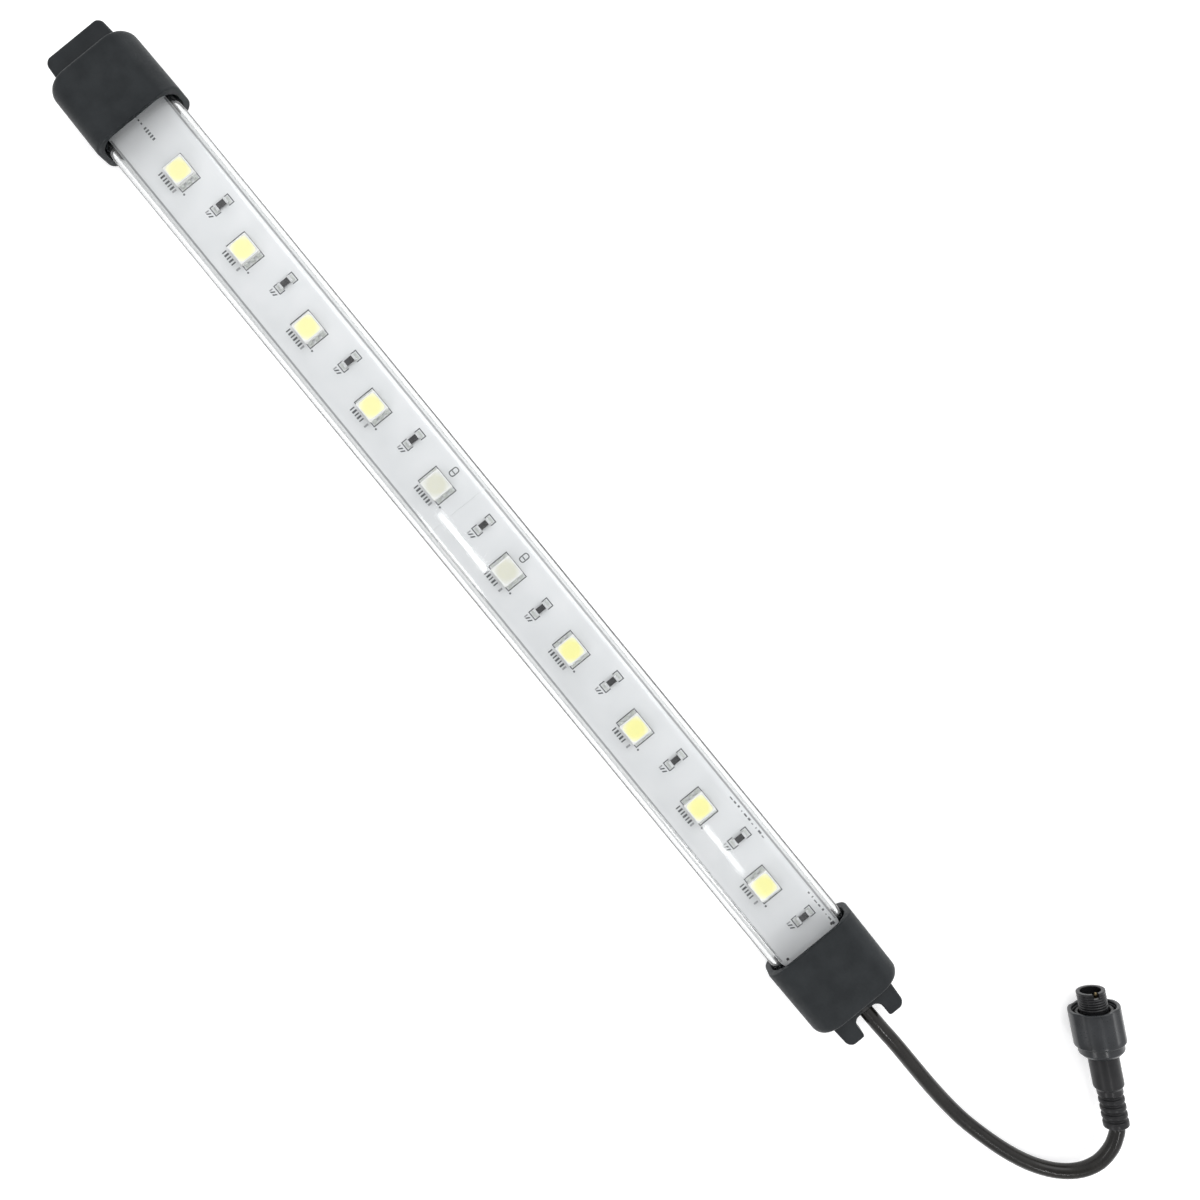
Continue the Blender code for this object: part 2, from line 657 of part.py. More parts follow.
def shade_round_pieces():
    """Smooth shading on the turned pieces, with their edges kept sharp."""
    for part in parts.objects:
        if part.type == "MESH":
            part.data.shade_smooth()
            part.data.set_sharp_from_angle(angle=math.radians(35))


clear_scene()
parts = new_collection("led_light_bar")
cutters = new_collection("cutters")
make_tube()
make_cap("end_cap_plain", -1, has_cable=False)
make_cap("end_cap_cable", 1, has_cable=True)
make_end_seals()
make_boards()
make_leds()
make_resistors()
make_jumpers()
make_gland()
make_leads()
make_cable()
make_connector()
shade_round_pieces()
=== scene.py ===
"""The looks of a waterproof LED light bar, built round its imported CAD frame.

Metres, +Z up, in the CAD's own frame: the bar lies along X, its cable leaves at +X and its LEDs face up.
"""

import json
import math

import bmesh
import bpy
from mathutils import Matrix, Vector


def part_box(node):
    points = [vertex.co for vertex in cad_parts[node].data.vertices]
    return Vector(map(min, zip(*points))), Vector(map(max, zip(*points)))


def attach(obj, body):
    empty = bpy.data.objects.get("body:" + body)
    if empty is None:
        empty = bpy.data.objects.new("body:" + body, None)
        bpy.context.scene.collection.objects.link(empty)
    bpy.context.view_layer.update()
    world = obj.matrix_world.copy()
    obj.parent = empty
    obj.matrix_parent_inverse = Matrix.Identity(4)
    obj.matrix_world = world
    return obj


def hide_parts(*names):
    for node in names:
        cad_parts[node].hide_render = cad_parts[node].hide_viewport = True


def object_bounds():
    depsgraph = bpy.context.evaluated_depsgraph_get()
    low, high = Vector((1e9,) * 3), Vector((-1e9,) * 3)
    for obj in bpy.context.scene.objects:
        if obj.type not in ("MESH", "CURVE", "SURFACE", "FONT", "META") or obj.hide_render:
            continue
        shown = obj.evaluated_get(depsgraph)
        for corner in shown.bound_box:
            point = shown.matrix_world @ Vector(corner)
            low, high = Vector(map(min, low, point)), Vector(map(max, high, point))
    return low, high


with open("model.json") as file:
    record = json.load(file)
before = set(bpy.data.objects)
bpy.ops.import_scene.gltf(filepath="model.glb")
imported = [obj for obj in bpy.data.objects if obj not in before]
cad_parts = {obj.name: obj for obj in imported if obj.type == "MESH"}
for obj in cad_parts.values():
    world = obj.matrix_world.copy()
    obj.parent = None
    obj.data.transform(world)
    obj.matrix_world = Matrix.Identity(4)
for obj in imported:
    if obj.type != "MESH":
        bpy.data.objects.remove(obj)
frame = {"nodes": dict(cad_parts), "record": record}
cad_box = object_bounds()

MM = 0.001


def span(node):
    """A CAD node's middle and its size."""
    low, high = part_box(node)
    return (low + high) / 2, high - low


# Places that the frame gives
TUBE_MIDDLE, TUBE_SIZE = span("clear_tube")
AXIS_Z = TUBE_MIDDLE.z
CAP_SIZE = span("end_cap_plain")[1]
TIP_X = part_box("end_cap_cable")[1].x
BOARD_TOP_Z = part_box("board_a")[1].z
JOINT = next(j for j in frame["record"]["behaviour"]["joints"] if j["type"] == "hinge")
HEADING = Vector(JOINT["axis"]).normalized()

# Sizes that the frame's boxes don't give
TUBE_WALL, TUBE_RADIUS = 1.05 * MM, 4.0 * MM
CAP_MOUTH_X, CAP_WALL_X, CAP_END_X = 113.7 * MM, 127.7 * MM, 130.9 * MM
CAP_END_WIDTH, CAP_CORNER, CAP_RADIUS = 22.2 * MM, 2.6 * MM, 4.0 * MM
CAP_FIT = 0.3 * MM
CAP_EDGE, CAP_RIM = 0.8 * MM, 0.45 * MM
TONGUE_THICKNESS, TONGUE_CORNER, TONGUE_EDGE = 5 * MM, 1.0 * MM, 0.55 * MM
TONGUE_SOFTNESS = 0.6 * MM
TONGUE_BASE_WIDTH, TONGUE_TIP_WIDTH, TONGUE_OVERLAP = 16.4 * MM, 15.4 * MM, 1.6 * MM
SLOT_WIDTH, SLOT_BOTTOM_X, SLOT_CORNER = 7.0 * MM, 133.2 * MM, 1.0 * MM
BOARD_CORNER, BOARD_EDGE = 1.8 * MM, 0.08 * MM
BOARD_REACH = 0.148 * MM  # how far each board's coating spreads into the joint
WIRE_HOLE_X, WIRE_HOLE_Y, WIRE_HOLE_RADIUS = 114.9 * MM, 6.2 * MM, 0.38 * MM
GLAND_RADIUS, GLAND_FLANGE_RADIUS, GLAND_INNER_X = 2.35 * MM, 2.9 * MM, 126.2 * MM
LEAD_RADIUS, CABLE_RADIUS, CABLE_LENGTH = 0.5 * MM, 1.65 * MM, 78 * MM
JOINT_FROM_TAIL = 22 * MM

# The cable's route, in millimetres, from the gland to the connector's tail
CABLE_ROUTE = [
    (133.5, 0.0, 6.5),
    (138.5, 0.1, 6.4),
    (144.0, 0.3, 5.9),
    (150.0, 0.3, 4.8),
    (156.0, 0.3, 3.5),
    (162.0, 0.5, 2.4),
    (168.0, 1.1, 1.85),
    (174.0, 2.4, 1.75),
    (180.0, 4.2, 1.75),
    (185.5, 6.7, 1.85),
    (189.9, 10.1, 2.3),
    (192.5, 14.1, 3.1),
    (193.1, 18.4, 4.1),
    (191.8, 22.6, 5.0),
    (189.7, 25.6, 5.45),
    (188.66, 26.36, 5.5),
]

# The leads' route for the +Y side, in millimetres, from the gland to the underside of the board
LEAD_ROUTE = [
    (125.9, 0.9, 6.5),
    (124.4, 1.2, 6.2),
    (121.5, 2.6, 5.3),
    (118.6, 4.2, 4.5),
    (116.8, 5.2, 3.8),
    (115.0, 5.8, 3.5),
    (112.5, 6.1, 3.5),
]

# Local Z to world X, and local Z to the connector's heading with local X up
ALONG_X = Matrix(((0, 0, 1, 0), (1, 0, 0, 0), (0, 1, 0, 0), (0, 0, 0, 1)))
TAIL = Vector(JOINT["pos_m"]) - HEADING * JOINT_FROM_TAIL
CONNECTOR = Matrix.Translation(TAIL) @ Matrix(
    (
        (0, HEADING.y, HEADING.x, 0),
        (0, -HEADING.x, HEADING.y, 0),
        (1, 0, 0, 0),
        (0, 0, 0, 1),
    )
)

SMOOTH_ANGLE = math.radians(38)
WELD_DISTANCE = 0.0005 * MM


# Outlines, as lists of (x, y)


def arc(centre, radius, start, end, steps=8):
    turns = [math.radians(start + (end - start) * i / steps) for i in range(steps + 1)]
    return [(centre[0] + radius * math.cos(t), centre[1] + radius * math.sin(t)) for t in turns]


def circle(centre, radius, steps=32):
    return arc(centre, radius, 0, 360, steps)[:-1]


def rounded_rectangle(width, height, radius, steps=8, centre=(0, 0)):
    x, y = width / 2 - radius, height / 2 - radius
    corners = [((x, y), 0), ((-x, y), 90), ((-x, -y), 180), ((x, -y), 270)]
    points = [p for at, start in corners for p in arc(at, radius, start, start + 90, steps)]
    return [(px + centre[0], py + centre[1]) for px, py in points]


def bar(x, y, width, height):
    """A small rectangle about (x, y)."""
    w, h = width / 2, height / 2
    return [(x - w, y - h), (x + w, y - h), (x + w, y + h), (x - w, y + h)]


def softened(points, radius, steps=3, closed=True):
    """The same outline with each of its corners rounded."""
    made = []
    count = len(points)
    for i, point in enumerate(points):
        at = Vector(point)
        if not closed and i in (0, count - 1):
            made.append(tuple(at))
            continue
        before = Vector(points[i - 1]) - at
        after = Vector(points[(i + 1) % count]) - at
        reach = min(radius, before.length * 0.45, after.length * 0.45)
        start, end = at + before.normalized() * reach, at + after.normalized() * reach
        for step in range(steps + 1):
            t = step / steps
            made.append(tuple(start * (1 - t) ** 2 + at * 2 * t * (1 - t) + end * t**2))
    return made


# Meshes


def linked(name, data):
    """A new object of that data, put in the scene."""
    made = bpy.data.objects.new(name, data)
    bpy.context.scene.collection.objects.link(made)
    return made


def smoothed(mesh):
    """The mesh, shaded smooth between its sharp edges."""
    mesh.shade_smooth()
    mesh.set_sharp_from_angle(angle=SMOOTH_ANGLE)
    return mesh


def finished(shape, name):
    """The mesh of a bmesh, facing out and shaded smooth between its edges."""
    bmesh.ops.remove_doubles(shape, verts=shape.verts, dist=WELD_DISTANCE)
    bmesh.ops.recalc_face_normals(shape, faces=shape.faces)
    mesh = bpy.data.meshes.new(name)
    shape.to_mesh(mesh)
    shape.free()
    return smoothed(mesh)


def loft(name, loops, ring=False):
    """A skin through loops of 3-D points of one count. It closes on itself, or ends in flat faces."""
    shape = bmesh.new()
    rows = [[shape.verts.new(p) for p in loop] for loop in loops]
    pairs = list(zip(rows, rows[1:]))
    if ring:
        pairs.append((rows[-1], rows[0]))
    else:
        shape.faces.new(rows[0])
        shape.faces.new(rows[-1])
    for a, b in pairs:
        for i in range(len(a)):
            j = (i + 1) % len(a)
            shape.faces.new((a[i], a[j], b[j], b[i]))
    return finished(shape, name)


def turned(name, profile, steps=64, radius_at=None):
    """A profile of (radius, height) points turned about Z. It closes on itself unless it meets the axis."""
    on_axis = profile[0][0] == 0
    body = profile[1:-1] if on_axis else profile
    loops = []
    for radius, z in body:
        turns = [2 * math.pi * i / steps for i in range(steps)]
        radii = [radius if radius_at is None else radius_at(radius, z, t) for t in turns]
        loops.append([(r * math.cos(t), r * math.sin(t), z) for r, t in zip(radii, turns)])
    return loft(name, loops, ring=not on_axis)


def plate(name, loops, thickness, edge=0.0, steps=2):
    """A flat outline with any holes in it, thickness thick about its plane, with rounded edges."""
    curve = bpy.data.curves.new(name, "CURVE")
    curve.dimensions = "2D"
    curve.fill_mode = "BOTH"
    curve.extrude = thickness / 2 - edge
    curve.bevel_depth = edge
    curve.bevel_resolution = steps
    curve.offset = -edge
    for loop in loops:
        spline = curve.splines.new("POLY")
        spline.points.add(len(loop) - 1)
        for point, (x, y) in zip(spline.points, loop):
            point.co = (x, y, 0, 1)
        spline.use_cyclic_u = True
    holder = linked("holder", curve)
    graph = bpy.context.evaluated_depsgraph_get()
    made = bpy.data.meshes.new_from_object(holder.evaluated_get(graph))
    bpy.data.objects.remove(holder)
    shape = bmesh.new()
    shape.from_mesh(made)
    bpy.data.meshes.remove(made)
    return finished(shape, name)


def joined(name, parts):
    """One mesh of several, given as (mesh, matrix, slot number)."""
    shape = bmesh.new()
    for part, matrix, slot in parts:
        verts, faces = len(shape.verts), len(shape.faces)
        shape.from_mesh(part)
        shape.verts.ensure_lookup_table()
        shape.faces.ensure_lookup_table()
        bmesh.ops.transform(shape, matrix=matrix, verts=shape.verts[verts:])
        for face in shape.faces[faces:]:
            face.material_index = slot
    mesh = bpy.data.meshes.new(name)
    shape.to_mesh(mesh)
    shape.free()
    return mesh


def cut(mesh, cutters, operation="DIFFERENCE"):
    """The mesh with others taken from it, or added to it."""
    target = linked(mesh.name, mesh)
    helpers = []
    for cutter in cutters:
        helper = linked(cutter.name, cutter)
        helpers.append(helper)
        boolean = target.modifiers.new(cutter.name, "BOOLEAN")
        boolean.operation = operation
        boolean.solver = "EXACT"
        boolean.object = helper
    graph = bpy.context.evaluated_depsgraph_get()
    made = bpy.data.meshes.new_from_object(target.evaluated_get(graph))
    for helper in [target, *helpers]:
        bpy.data.objects.remove(helper)
    return smoothed(made)


def moved(mesh, matrix):
    mesh.transform(matrix)
    return mesh


def shift(x, y, z):
    return Matrix.Translation((x, y, z))


def foot_of(node):
    """The matrix that stands a mesh on the middle of a CAD node's underside."""
    low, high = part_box(node)
    return shift((low.x + high.x) / 2, (low.y + high.y) / 2, low.z)


def piece(name, mesh, materials, node=None, body="lamp", matrix=None):
    """A shown piece that rides on a body and may stand for a CAD node."""
    made = linked(name, mesh)
    if not mesh.materials:
        for material in materials:
            mesh.materials.append(material)
    if matrix is not None:
        made.matrix_world = matrix
    if made.type == "MESH":
        weighted = made.modifiers.new("Even shading", "WEIGHTED_NORMAL")
        weighted.keep_sharp = True
    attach(made, body)
    if node:
        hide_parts(node)
    return made


def smooth_points(points, steps=5):
    """Points in metres on the smooth curve through the given ones, which are in millimetres."""
    known = [Vector(p) * MM for p in points]
    padded = [2 * known[0] - known[1], *known, 2 * known[-1] - known[-2]]
    fine = []
    for before, start, end, after in zip(padded, padded[1:], padded[2:], padded[3:]):
        for i in range(steps):
            t = i / steps
            fine.append(
                0.5
                * (
                    2 * start
                    + (end - before) * t
                    + (2 * before - 5 * start + 4 * end - after) * t**2
                    + (3 * start - before - 3 * end + after) * t**3
                )
            )
    return [*fine, known[-1]]


def round_wire(name, points, radius):
    curve = bpy.data.curves.new(name, "CURVE")
    curve.dimensions = "3D"
    curve.bevel_depth = radius
    curve.bevel_resolution = 8
    curve.use_fill_caps = True
    spline = curve.splines.new("POLY")
    spline.points.add(len(points) - 1)
    for point, place in zip(spline.points, points):
        point.co = (*place, 1)
    spline.use_smooth = True
    return curve


# Materials


def set_stops(ramp, stops):
    """Give a colour ramp its (place, colour) stops."""
    while len(ramp.elements) < len(stops):
        ramp.elements.new(0.5)
    for element, (place, colour) in zip(ramp.elements, stops):
        element.position = place
        element.color = (*colour, 1)


class Surface:
    """A Principled material that is built up from layers of noise."""

    def __init__(self, name, colour, roughness, **sockets):
        self.material = bpy.data.materials.new(name)
        self.material.use_nodes = True
        self.nodes = self.material.node_tree.nodes
        self.links = self.material.node_tree.links
        self.shader = self.nodes["Principled BSDF"]
        self.place = self.nodes.new("ShaderNodeTexCoord").outputs["Object"]
        self.shader.inputs["Base Color"].default_value = (*colour, 1)
        self.shader.inputs["Roughness"].default_value = roughness
        for socket, value in sockets.items():
            self.shader.inputs[socket.replace("_", " ")].default_value = value

    def noise(self, size, detail=3.0, stretch=(1, 1, 1)):
        """Noise from 0 to 1 whose blobs are about size across."""
        scaled = self.nodes.new("ShaderNodeMapping")
        scaled.inputs["Scale"].default_value = stretch
        texture = self.nodes.new("ShaderNodeTexNoise")
        texture.inputs["Scale"].default_value = 1 / size
        texture.inputs["Detail"].default_value = detail
        self.links.new(self.place, scaled.inputs["Vector"])
        self.links.new(scaled.outputs["Vector"], texture.inputs["Vector"])
        return texture.outputs["Fac"]

    def between(self, source, low, high, start=0.3, end=0.7):
        """The source from start to end, made a value from low to high."""
        ranged = self.nodes.new("ShaderNodeMapRange")
        ranged.inputs["From Min"].default_value = start
        ranged.inputs["From Max"].default_value = end
        ranged.inputs["To Min"].default_value = low
        ranged.inputs["To Max"].default_value = high
        self.links.new(source, ranged.inputs["Value"])
        return ranged.outputs["Result"]

    def colours(self, source, *stops):
        """A colour ramp of (place, colour) stops on the source."""
        ramp = self.nodes.new("ShaderNodeValToRGB")
        set_stops(ramp.color_ramp, stops)
        self.links.new(source, ramp.inputs["Fac"])
        return ramp.outputs["Color"]

    def paint(self, colour):
        self.links.new(colour, self.shader.inputs["Base Color"])
        return self

    def polish(self, source, low, high):
        self.links.new(self.between(source, low, high), self.shader.inputs["Roughness"])
        return self

    def relief(self, source, depth, strength=1.0):
        """A bump of that depth. A second one lies on the first."""
        bump = self.nodes.new("ShaderNodeBump")
        bump.inputs["Distance"].default_value = depth
        bump.inputs["Strength"].default_value = strength
        self.links.new(source, bump.inputs["Height"])
        before = self.shader.inputs["Normal"].links
        if before:
            self.links.new(before[0].from_socket, bump.inputs["Normal"])
        self.links.new(bump.outputs["Normal"], self.shader.inputs["Normal"])
        return self


def clear_plastic():
    """Clear tube: it bends what the eye sees through it, and lets the light through to the board."""
    surface = Surface(
        "clear_tube", (0.955, 0.958, 0.96), 0.03, Transmission_Weight=1.0, IOR=1.47
    )
    surface.polish(surface.noise(9 * MM, 4), 0.015, 0.05)
    surface.relief(surface.noise(14 * MM, 1, (0.25, 1, 1)), 0.0015 * MM, 0.25)
    nodes, links = surface.nodes, surface.links
    # Painted shade: the tint deepens where the wall is seen at a slant, darkening the tube's sides more
    # than the longer path through the wall would.
    slant = nodes.new("ShaderNodeLayerWeight").outputs["Facing"]
    clearest, slant_shade_tint = (0.955, 0.958, 0.96), (0.60, 0.61, 0.61)
    surface.paint(surface.colours(slant, (0.10, clearest), (0.28, (0.69, 0.70, 0.70)), (1.0, slant_shade_tint)))
    path = nodes.new("ShaderNodeLightPath")
    either = nodes.new("ShaderNodeMath")
    either.operation = "MAXIMUM"
    links.new(path.outputs["Is Shadow Ray"], either.inputs[0])
    links.new(path.outputs["Is Diffuse Ray"], either.inputs[1])
    clear = nodes.new("ShaderNodeBsdfTransparent")
    clear.inputs["Color"].default_value = (0.945, 0.95, 0.952, 1)
    mixed = nodes.new("ShaderNodeMixShader")
    links.new(either.outputs["Value"], mixed.inputs["Fac"])
    links.new(surface.shader.outputs["BSDF"], mixed.inputs[1])
    links.new(clear.outputs["BSDF"], mixed.inputs[2])
    links.new(mixed.outputs["Shader"], nodes["Material Output"].inputs["Surface"])
    return surface.material


def moulded(name, dark, light, roughness, grain=0.45 * MM, depth=0.012 * MM, **sockets):
    """A moulded plastic or rubber: cloudy tone, fine grain, uneven gloss."""
    surface = Surface(name, dark, roughness, **sockets)
    cloud = surface.noise(4 * MM, 5)
    fine = surface.noise(grain, 3)
    surface.paint(surface.colours(cloud, (0.32, dark), (0.68, light)))
    surface.polish(fine, roughness - 0.07, roughness + 0.08)
    surface.relief(fine, depth, 0.7)
    surface.relief(surface.noise(2.5 * MM, 2), 0.02 * MM, 0.4)
    return surface.material


def solder_mask():
    """White board coating: cloudy, with painted shade that makes it a little darker towards -Y and +X, and
    a fine orange peel.
    """
    surface = Surface("board", (0.72, 0.73, 0.735), 0.35, Specular_IOR_Level=0.4)
    cloud = surface.noise(7 * MM, 4)
    tones = surface.colours(
        cloud, (0.3, (0.69, 0.70, 0.705)), (0.5, (0.72, 0.73, 0.735)), (0.7, (0.75, 0.755, 0.76))
    )
    # Painted shade: the tones are dimmed towards -Y and +X, standing in for the light falling off across
    # and along the board.
    split = surface.nodes.new("ShaderNodeSeparateXYZ")
    surface.links.new(surface.place, split.inputs["Vector"])
    across = surface.between(split.outputs["Y"], 0.91, 1.04, -8 * MM, 8 * MM)
    along = surface.between(split.outputs["X"], 1.02, 0.95, -100 * MM, 110 * MM)
    shade = surface.nodes.new("ShaderNodeMath")
    shade.operation = "MULTIPLY"
    surface.links.new(across, shade.inputs[0])
    surface.links.new(along, shade.inputs[1])
    painted_shade_tones = surface.nodes.new("ShaderNodeVectorMath")
    painted_shade_tones.operation = "SCALE"
    surface.links.new(tones, painted_shade_tones.inputs[0])
    surface.links.new(shade.outputs["Value"], painted_shade_tones.inputs["Scale"])
    surface.paint(painted_shade_tones.outputs["Vector"])
    surface.polish(surface.noise(1.5 * MM, 3), 0.3, 0.45)
    surface.relief(surface.noise(0.5 * MM, 3), 0.004 * MM, 0.6)
    return surface.material


def board_edge():
    """The cut edge of the board, with the saw's fine upright lines."""
    surface = Surface("board_edge", (0.34, 0.34, 0.33), 0.5)
    lines = surface.noise(0.25 * MM, 2, (1, 1, 0.1))
    surface.paint(surface.colours(lines, (0.3, (0.26, 0.26, 0.26)), (0.7, (0.42, 0.42, 0.40))))
    surface.polish(lines, 0.4, 0.6)
    surface.relief(lines, 0.01 * MM, 0.6)
    return surface.material


def ink(name, colour, faded):
    """Printed marks whose ink is uneven. The same finish paints the shade along the boards' edges and in
    the wire holes.
    """
    surface = Surface(name, colour, 0.5)
    surface.paint(surface.colours(surface.noise(0.35 * MM, 3), (0.35, colour), (0.75, faded)))
    surface.polish(surface.noise(0.2 * MM, 2), 0.4, 0.6)
    return surface.material


def housing_white():
    surface = Surface("led_housing", (0.80, 0.80, 0.77), 0.35)
    fine = surface.noise(0.6 * MM, 3)
    surface.paint(surface.colours(fine, (0.3, (0.74, 0.74, 0.71)), (0.7, (0.86, 0.86, 0.83))))
    surface.polish(fine, 0.28, 0.42)
    surface.relief(surface.noise(0.15 * MM, 2), 0.003 * MM, 0.5)
    return surface.material


def phosphor(name, middle, edge, speck, painted_glow=0.0):
    """Yellow gel with a paler rim and small grains in it, and a faint painted glow that brightens the unlit
    gel.
    """
    surface = Surface(name, middle, 0.3, Coat_Weight=0.5, Coat_Roughness=0.08)
    surface.shader.inputs["Emission Color"].default_value = (*middle, 1)
    surface.shader.inputs["Emission Strength"].default_value = painted_glow
    surface.shader.inputs["Subsurface Weight"].default_value = 0.15
    surface.shader.inputs["Subsurface Radius"].default_value = (0.6 * MM, 0.5 * MM, 0.2 * MM)
    surface.shader.inputs["Subsurface Scale"].default_value = 1.0
    nodes, links = surface.nodes, surface.links
    away = nodes.new("ShaderNodeTexGradient")
    away.gradient_type = "SPHERICAL"
    scaled = nodes.new("ShaderNodeMapping")
    scaled.inputs["Scale"].default_value = (1 / (3.4 * MM), 1 / (3.4 * MM), 0)
    links.new(surface.place, scaled.inputs["Vector"])
    links.new(scaled.outputs["Vector"], away.inputs["Vector"])
    grains = surface.noise(0.22 * MM, 3)
    tone = surface.colours(away.outputs["Fac"], (0.12, edge), (0.5, middle))
    spotted = nodes.new("ShaderNodeMix")
    spotted.data_type = "RGBA"
    links.new(surface.between(grains, 0, 0.5, 0.58, 0.8), spotted.inputs["Factor"])
    links.new(tone, spotted.inputs["A"])
    spotted.inputs["B"].default_value = (*speck, 1)
    surface.paint(spotted.outputs["Result"])
    surface.polish(grains, 0.22, 0.4)
    surface.relief(grains, 0.005 * MM, 0.4)
    return surface.material


def metal(name, bright, dull, roughness, grain=0.3 * MM, shine=1.0):
    surface = Surface(name, bright, roughness, Metallic=shine)
    patches = surface.noise(grain, 4)
    surface.paint(surface.colours(patches, (0.35, dull), (0.65, bright)))
    surface.polish(patches, roughness + 0.1, roughness - 0.05)
    surface.relief(patches, 0.01 * MM, 0.4)
    return surface.material


# The camera, the light and the floor

CAMERA_PLACE = (28.35 * MM, 11.7 * MM, 256.5 * MM)
CAMERA_LENS, CAMERA_TURN = 34.5, math.radians(50.737)
STREAK_HEIGHT = 350 * MM  # how high the lights hang that streak the tube
FLOOR_THICKNESS, FLOOR_GAP = 2 * MM, 0.05 * MM


def make_camera():
    data = bpy.data.cameras.new("camera")
    data.sensor_width = 36
    data.lens = CAMERA_LENS
    data.clip_start = 0.01
    camera = linked("camera", data)
    camera.location = CAMERA_PLACE
    camera.rotation_euler = (0, 0, CAMERA_TURN)
    bpy.context.scene.camera = camera


def make_world():
    """Soft light from all round, dimmer straight above and on the -Y side."""
    world = bpy.data.worlds.new("studio")
    bpy.context.scene.world = world
    world.use_nodes = True
    nodes, links = world.node_tree.nodes, world.node_tree.links
    background = nodes["Background"]
    direction = nodes.new("ShaderNodeTexCoord")
    split = nodes.new("ShaderNodeSeparateXYZ")
    ramp = nodes.new("ShaderNodeValToRGB")
    levels = [(0.0, 0.95), (0.18, 1.0), (0.55, 1.2), (0.85, 1.1), (0.97, 0.62), (1.0, 0.5)]
    set_stops(ramp.color_ramp, [(height, (v, v * 1.002, v * 1.01)) for height, v in levels])
    links.new(direction.outputs["Generated"], split.inputs["Vector"])
    links.new(split.outputs["Z"], ramp.inputs["Fac"])
    links.new(ramp.outputs["Color"], background.inputs["Color"])
    sideways = nodes.new("ShaderNodeMapRange")
    sideways.inputs["From Min"].default_value = -1
    sideways.inputs["To Min"].default_value = 0.74
    sideways.inputs["To Max"].default_value = 1.26
    links.new(split.outputs["Y"], sideways.inputs["Value"])
    links.new(sideways.outputs["Result"], background.inputs["Strength"])


def area_light(name, place, width, height, level):
    """A rectangular light that faces straight down."""
    data = bpy.data.lights.new(name, "AREA")
    data.shape = "RECTANGLE"
    data.size, data.size_y = width, height
    data.energy = level * math.pi * width * height
    light = linked(name, data)
    light.location = place
    return light


def mirrored(x, y, height):
    """Where the camera's ray that the tube's top turns back at (x, y) reaches that height."""
    past_flat = max(0, abs(y) - (TUBE_SIZE.y / 2 - TUBE_RADIUS))
    tilt = math.copysign(math.asin(past_flat / TUBE_RADIUS), y)
    top = TUBE_MIDDLE.z + TUBE_SIZE.z / 2
    at = Vector((x, y, top - TUBE_RADIUS * (1 - math.cos(tilt))))
    ray = (at - bpy.context.scene.camera.location).reflect(
        Vector((0, math.sin(tilt), math.cos(tilt)))
    )
    return at + ray * ((height - at.z) / ray.z)


def make_streak(name, start_x, end_x, y, width, height, level):
    """A light whose mirror image in the tube's top is a streak from start_x to end_x about y."""
    edges = (y - width / 2, y + width / 2)
    corners = [mirrored(x, edge, height) for x in (start_x, end_x) for edge in edges]
    xs, ys = [c.x for c in corners], [c.y for c in corners]
    place = ((min(xs) + max(xs)) / 2, (min(ys) + max(ys)) / 2, height)
    area_light(name, place, max(xs) - min(xs), max(ys) - min(ys), level)


def make_lights():
    """Small lights that streak the tube, a large soft one at +Y, and one that glints on the cable."""
    streaks = [
        ("streak_middle", -7.5, 8.2, -3.3, 1.2, 8),
        ("streak_middle_side", -5.3, 10.4, -7.0, 0.5, 8),
        ("streak_right", 79.8, 92.9, -1.6, 1.3, 4.5),
        ("streak_right_faint", 93.5, 100, -1.6, 1.0, 1.6),
        ("streak_right_side", 82.7, 88.7, -7.6, 0.4, 8),
    ]
    for name, start_x, end_x, y, width, level in streaks:
        make_streak(name, start_x * MM, end_x * MM, y * MM, width * MM, STREAK_HEIGHT, level)
    soft = area_light("softbox", (-0.15, 0.55, 0.5), 0.6, 0.35, 2.2)
    spot = area_light("cable_highlight", (0.45, -0.1, 0.5), 0.03, 0.03, 100)
    for light in (soft, spot):
        light.rotation_euler = (-light.location).to_track_quat("-Z", "Y").to_euler()


def make_floor():
    surface = Surface("floor", (0.9, 0.9, 0.9), 0.8, Emission_Strength=0.36)
    surface.shader.inputs["Emission Color"].default_value = (1, 1, 1, 1)
    surface.paint(surface.colours(surface.noise(60 * MM, 3), (0.3, (0.89,) * 3), (0.7, (0.91,) * 3)))
    mesh = plate("floor", [rounded_rectangle(3, 3, 0.1)], FLOOR_THICKNESS)
    mesh.materials.append(surface.material)
    floor = linked("floor", mesh)
    floor.location = (0, 0, cad_box[0].z - FLOOR_THICKNESS / 2 - FLOOR_GAP)


# The bar


def make_tube():
    inner_size = (TUBE_SIZE.y - 2 * TUBE_WALL, TUBE_SIZE.z - 2 * TUBE_WALL)
    loops = [
        rounded_rectangle(TUBE_SIZE.y, TUBE_SIZE.z, TUBE_RADIUS, 20),
        rounded_rectangle(*inner_size, TUBE_RADIUS - TUBE_WALL, 20),
    ]
    tube = plate("tube", loops, TUBE_SIZE.x, 0.15 * MM)
    matrix = Matrix.Translation(TUBE_MIDDLE) @ ALONG_X
    piece("tube", moved(tube, matrix), [clear_plastic()], "clear_tube")


def cap_half_width(x):
    """Half the cap's width at x, seen from above: a slight taper, then a rounded corner."""
    start, end = CAP_MOUTH_X, CAP_END_X - CAP_CORNER
    if x <= end:
        along = (x - start) / (end - start)
        return CAP_SIZE.y / 2 + (CAP_END_WIDTH - CAP_SIZE.y) / 2 * along
    return CAP_END_WIDTH / 2 - CAP_CORNER + math.sqrt(CAP_CORNER**2 - (x - end) ** 2)


def cap_section(x, half_width, half_depth, radius):
    radius = min(radius, half_width - 0.01 * MM, half_depth - 0.01 * MM)
    outline = rounded_rectangle(2 * half_width, 2 * half_depth, radius, 12)
    return [(x, y, z) for y, z in outline]


def quarter_turn(steps, first=0):
    """Angles from 0 to a right angle, from the first step on."""
    return [math.pi / 2 * i / steps for i in range(first, steps + 1)]


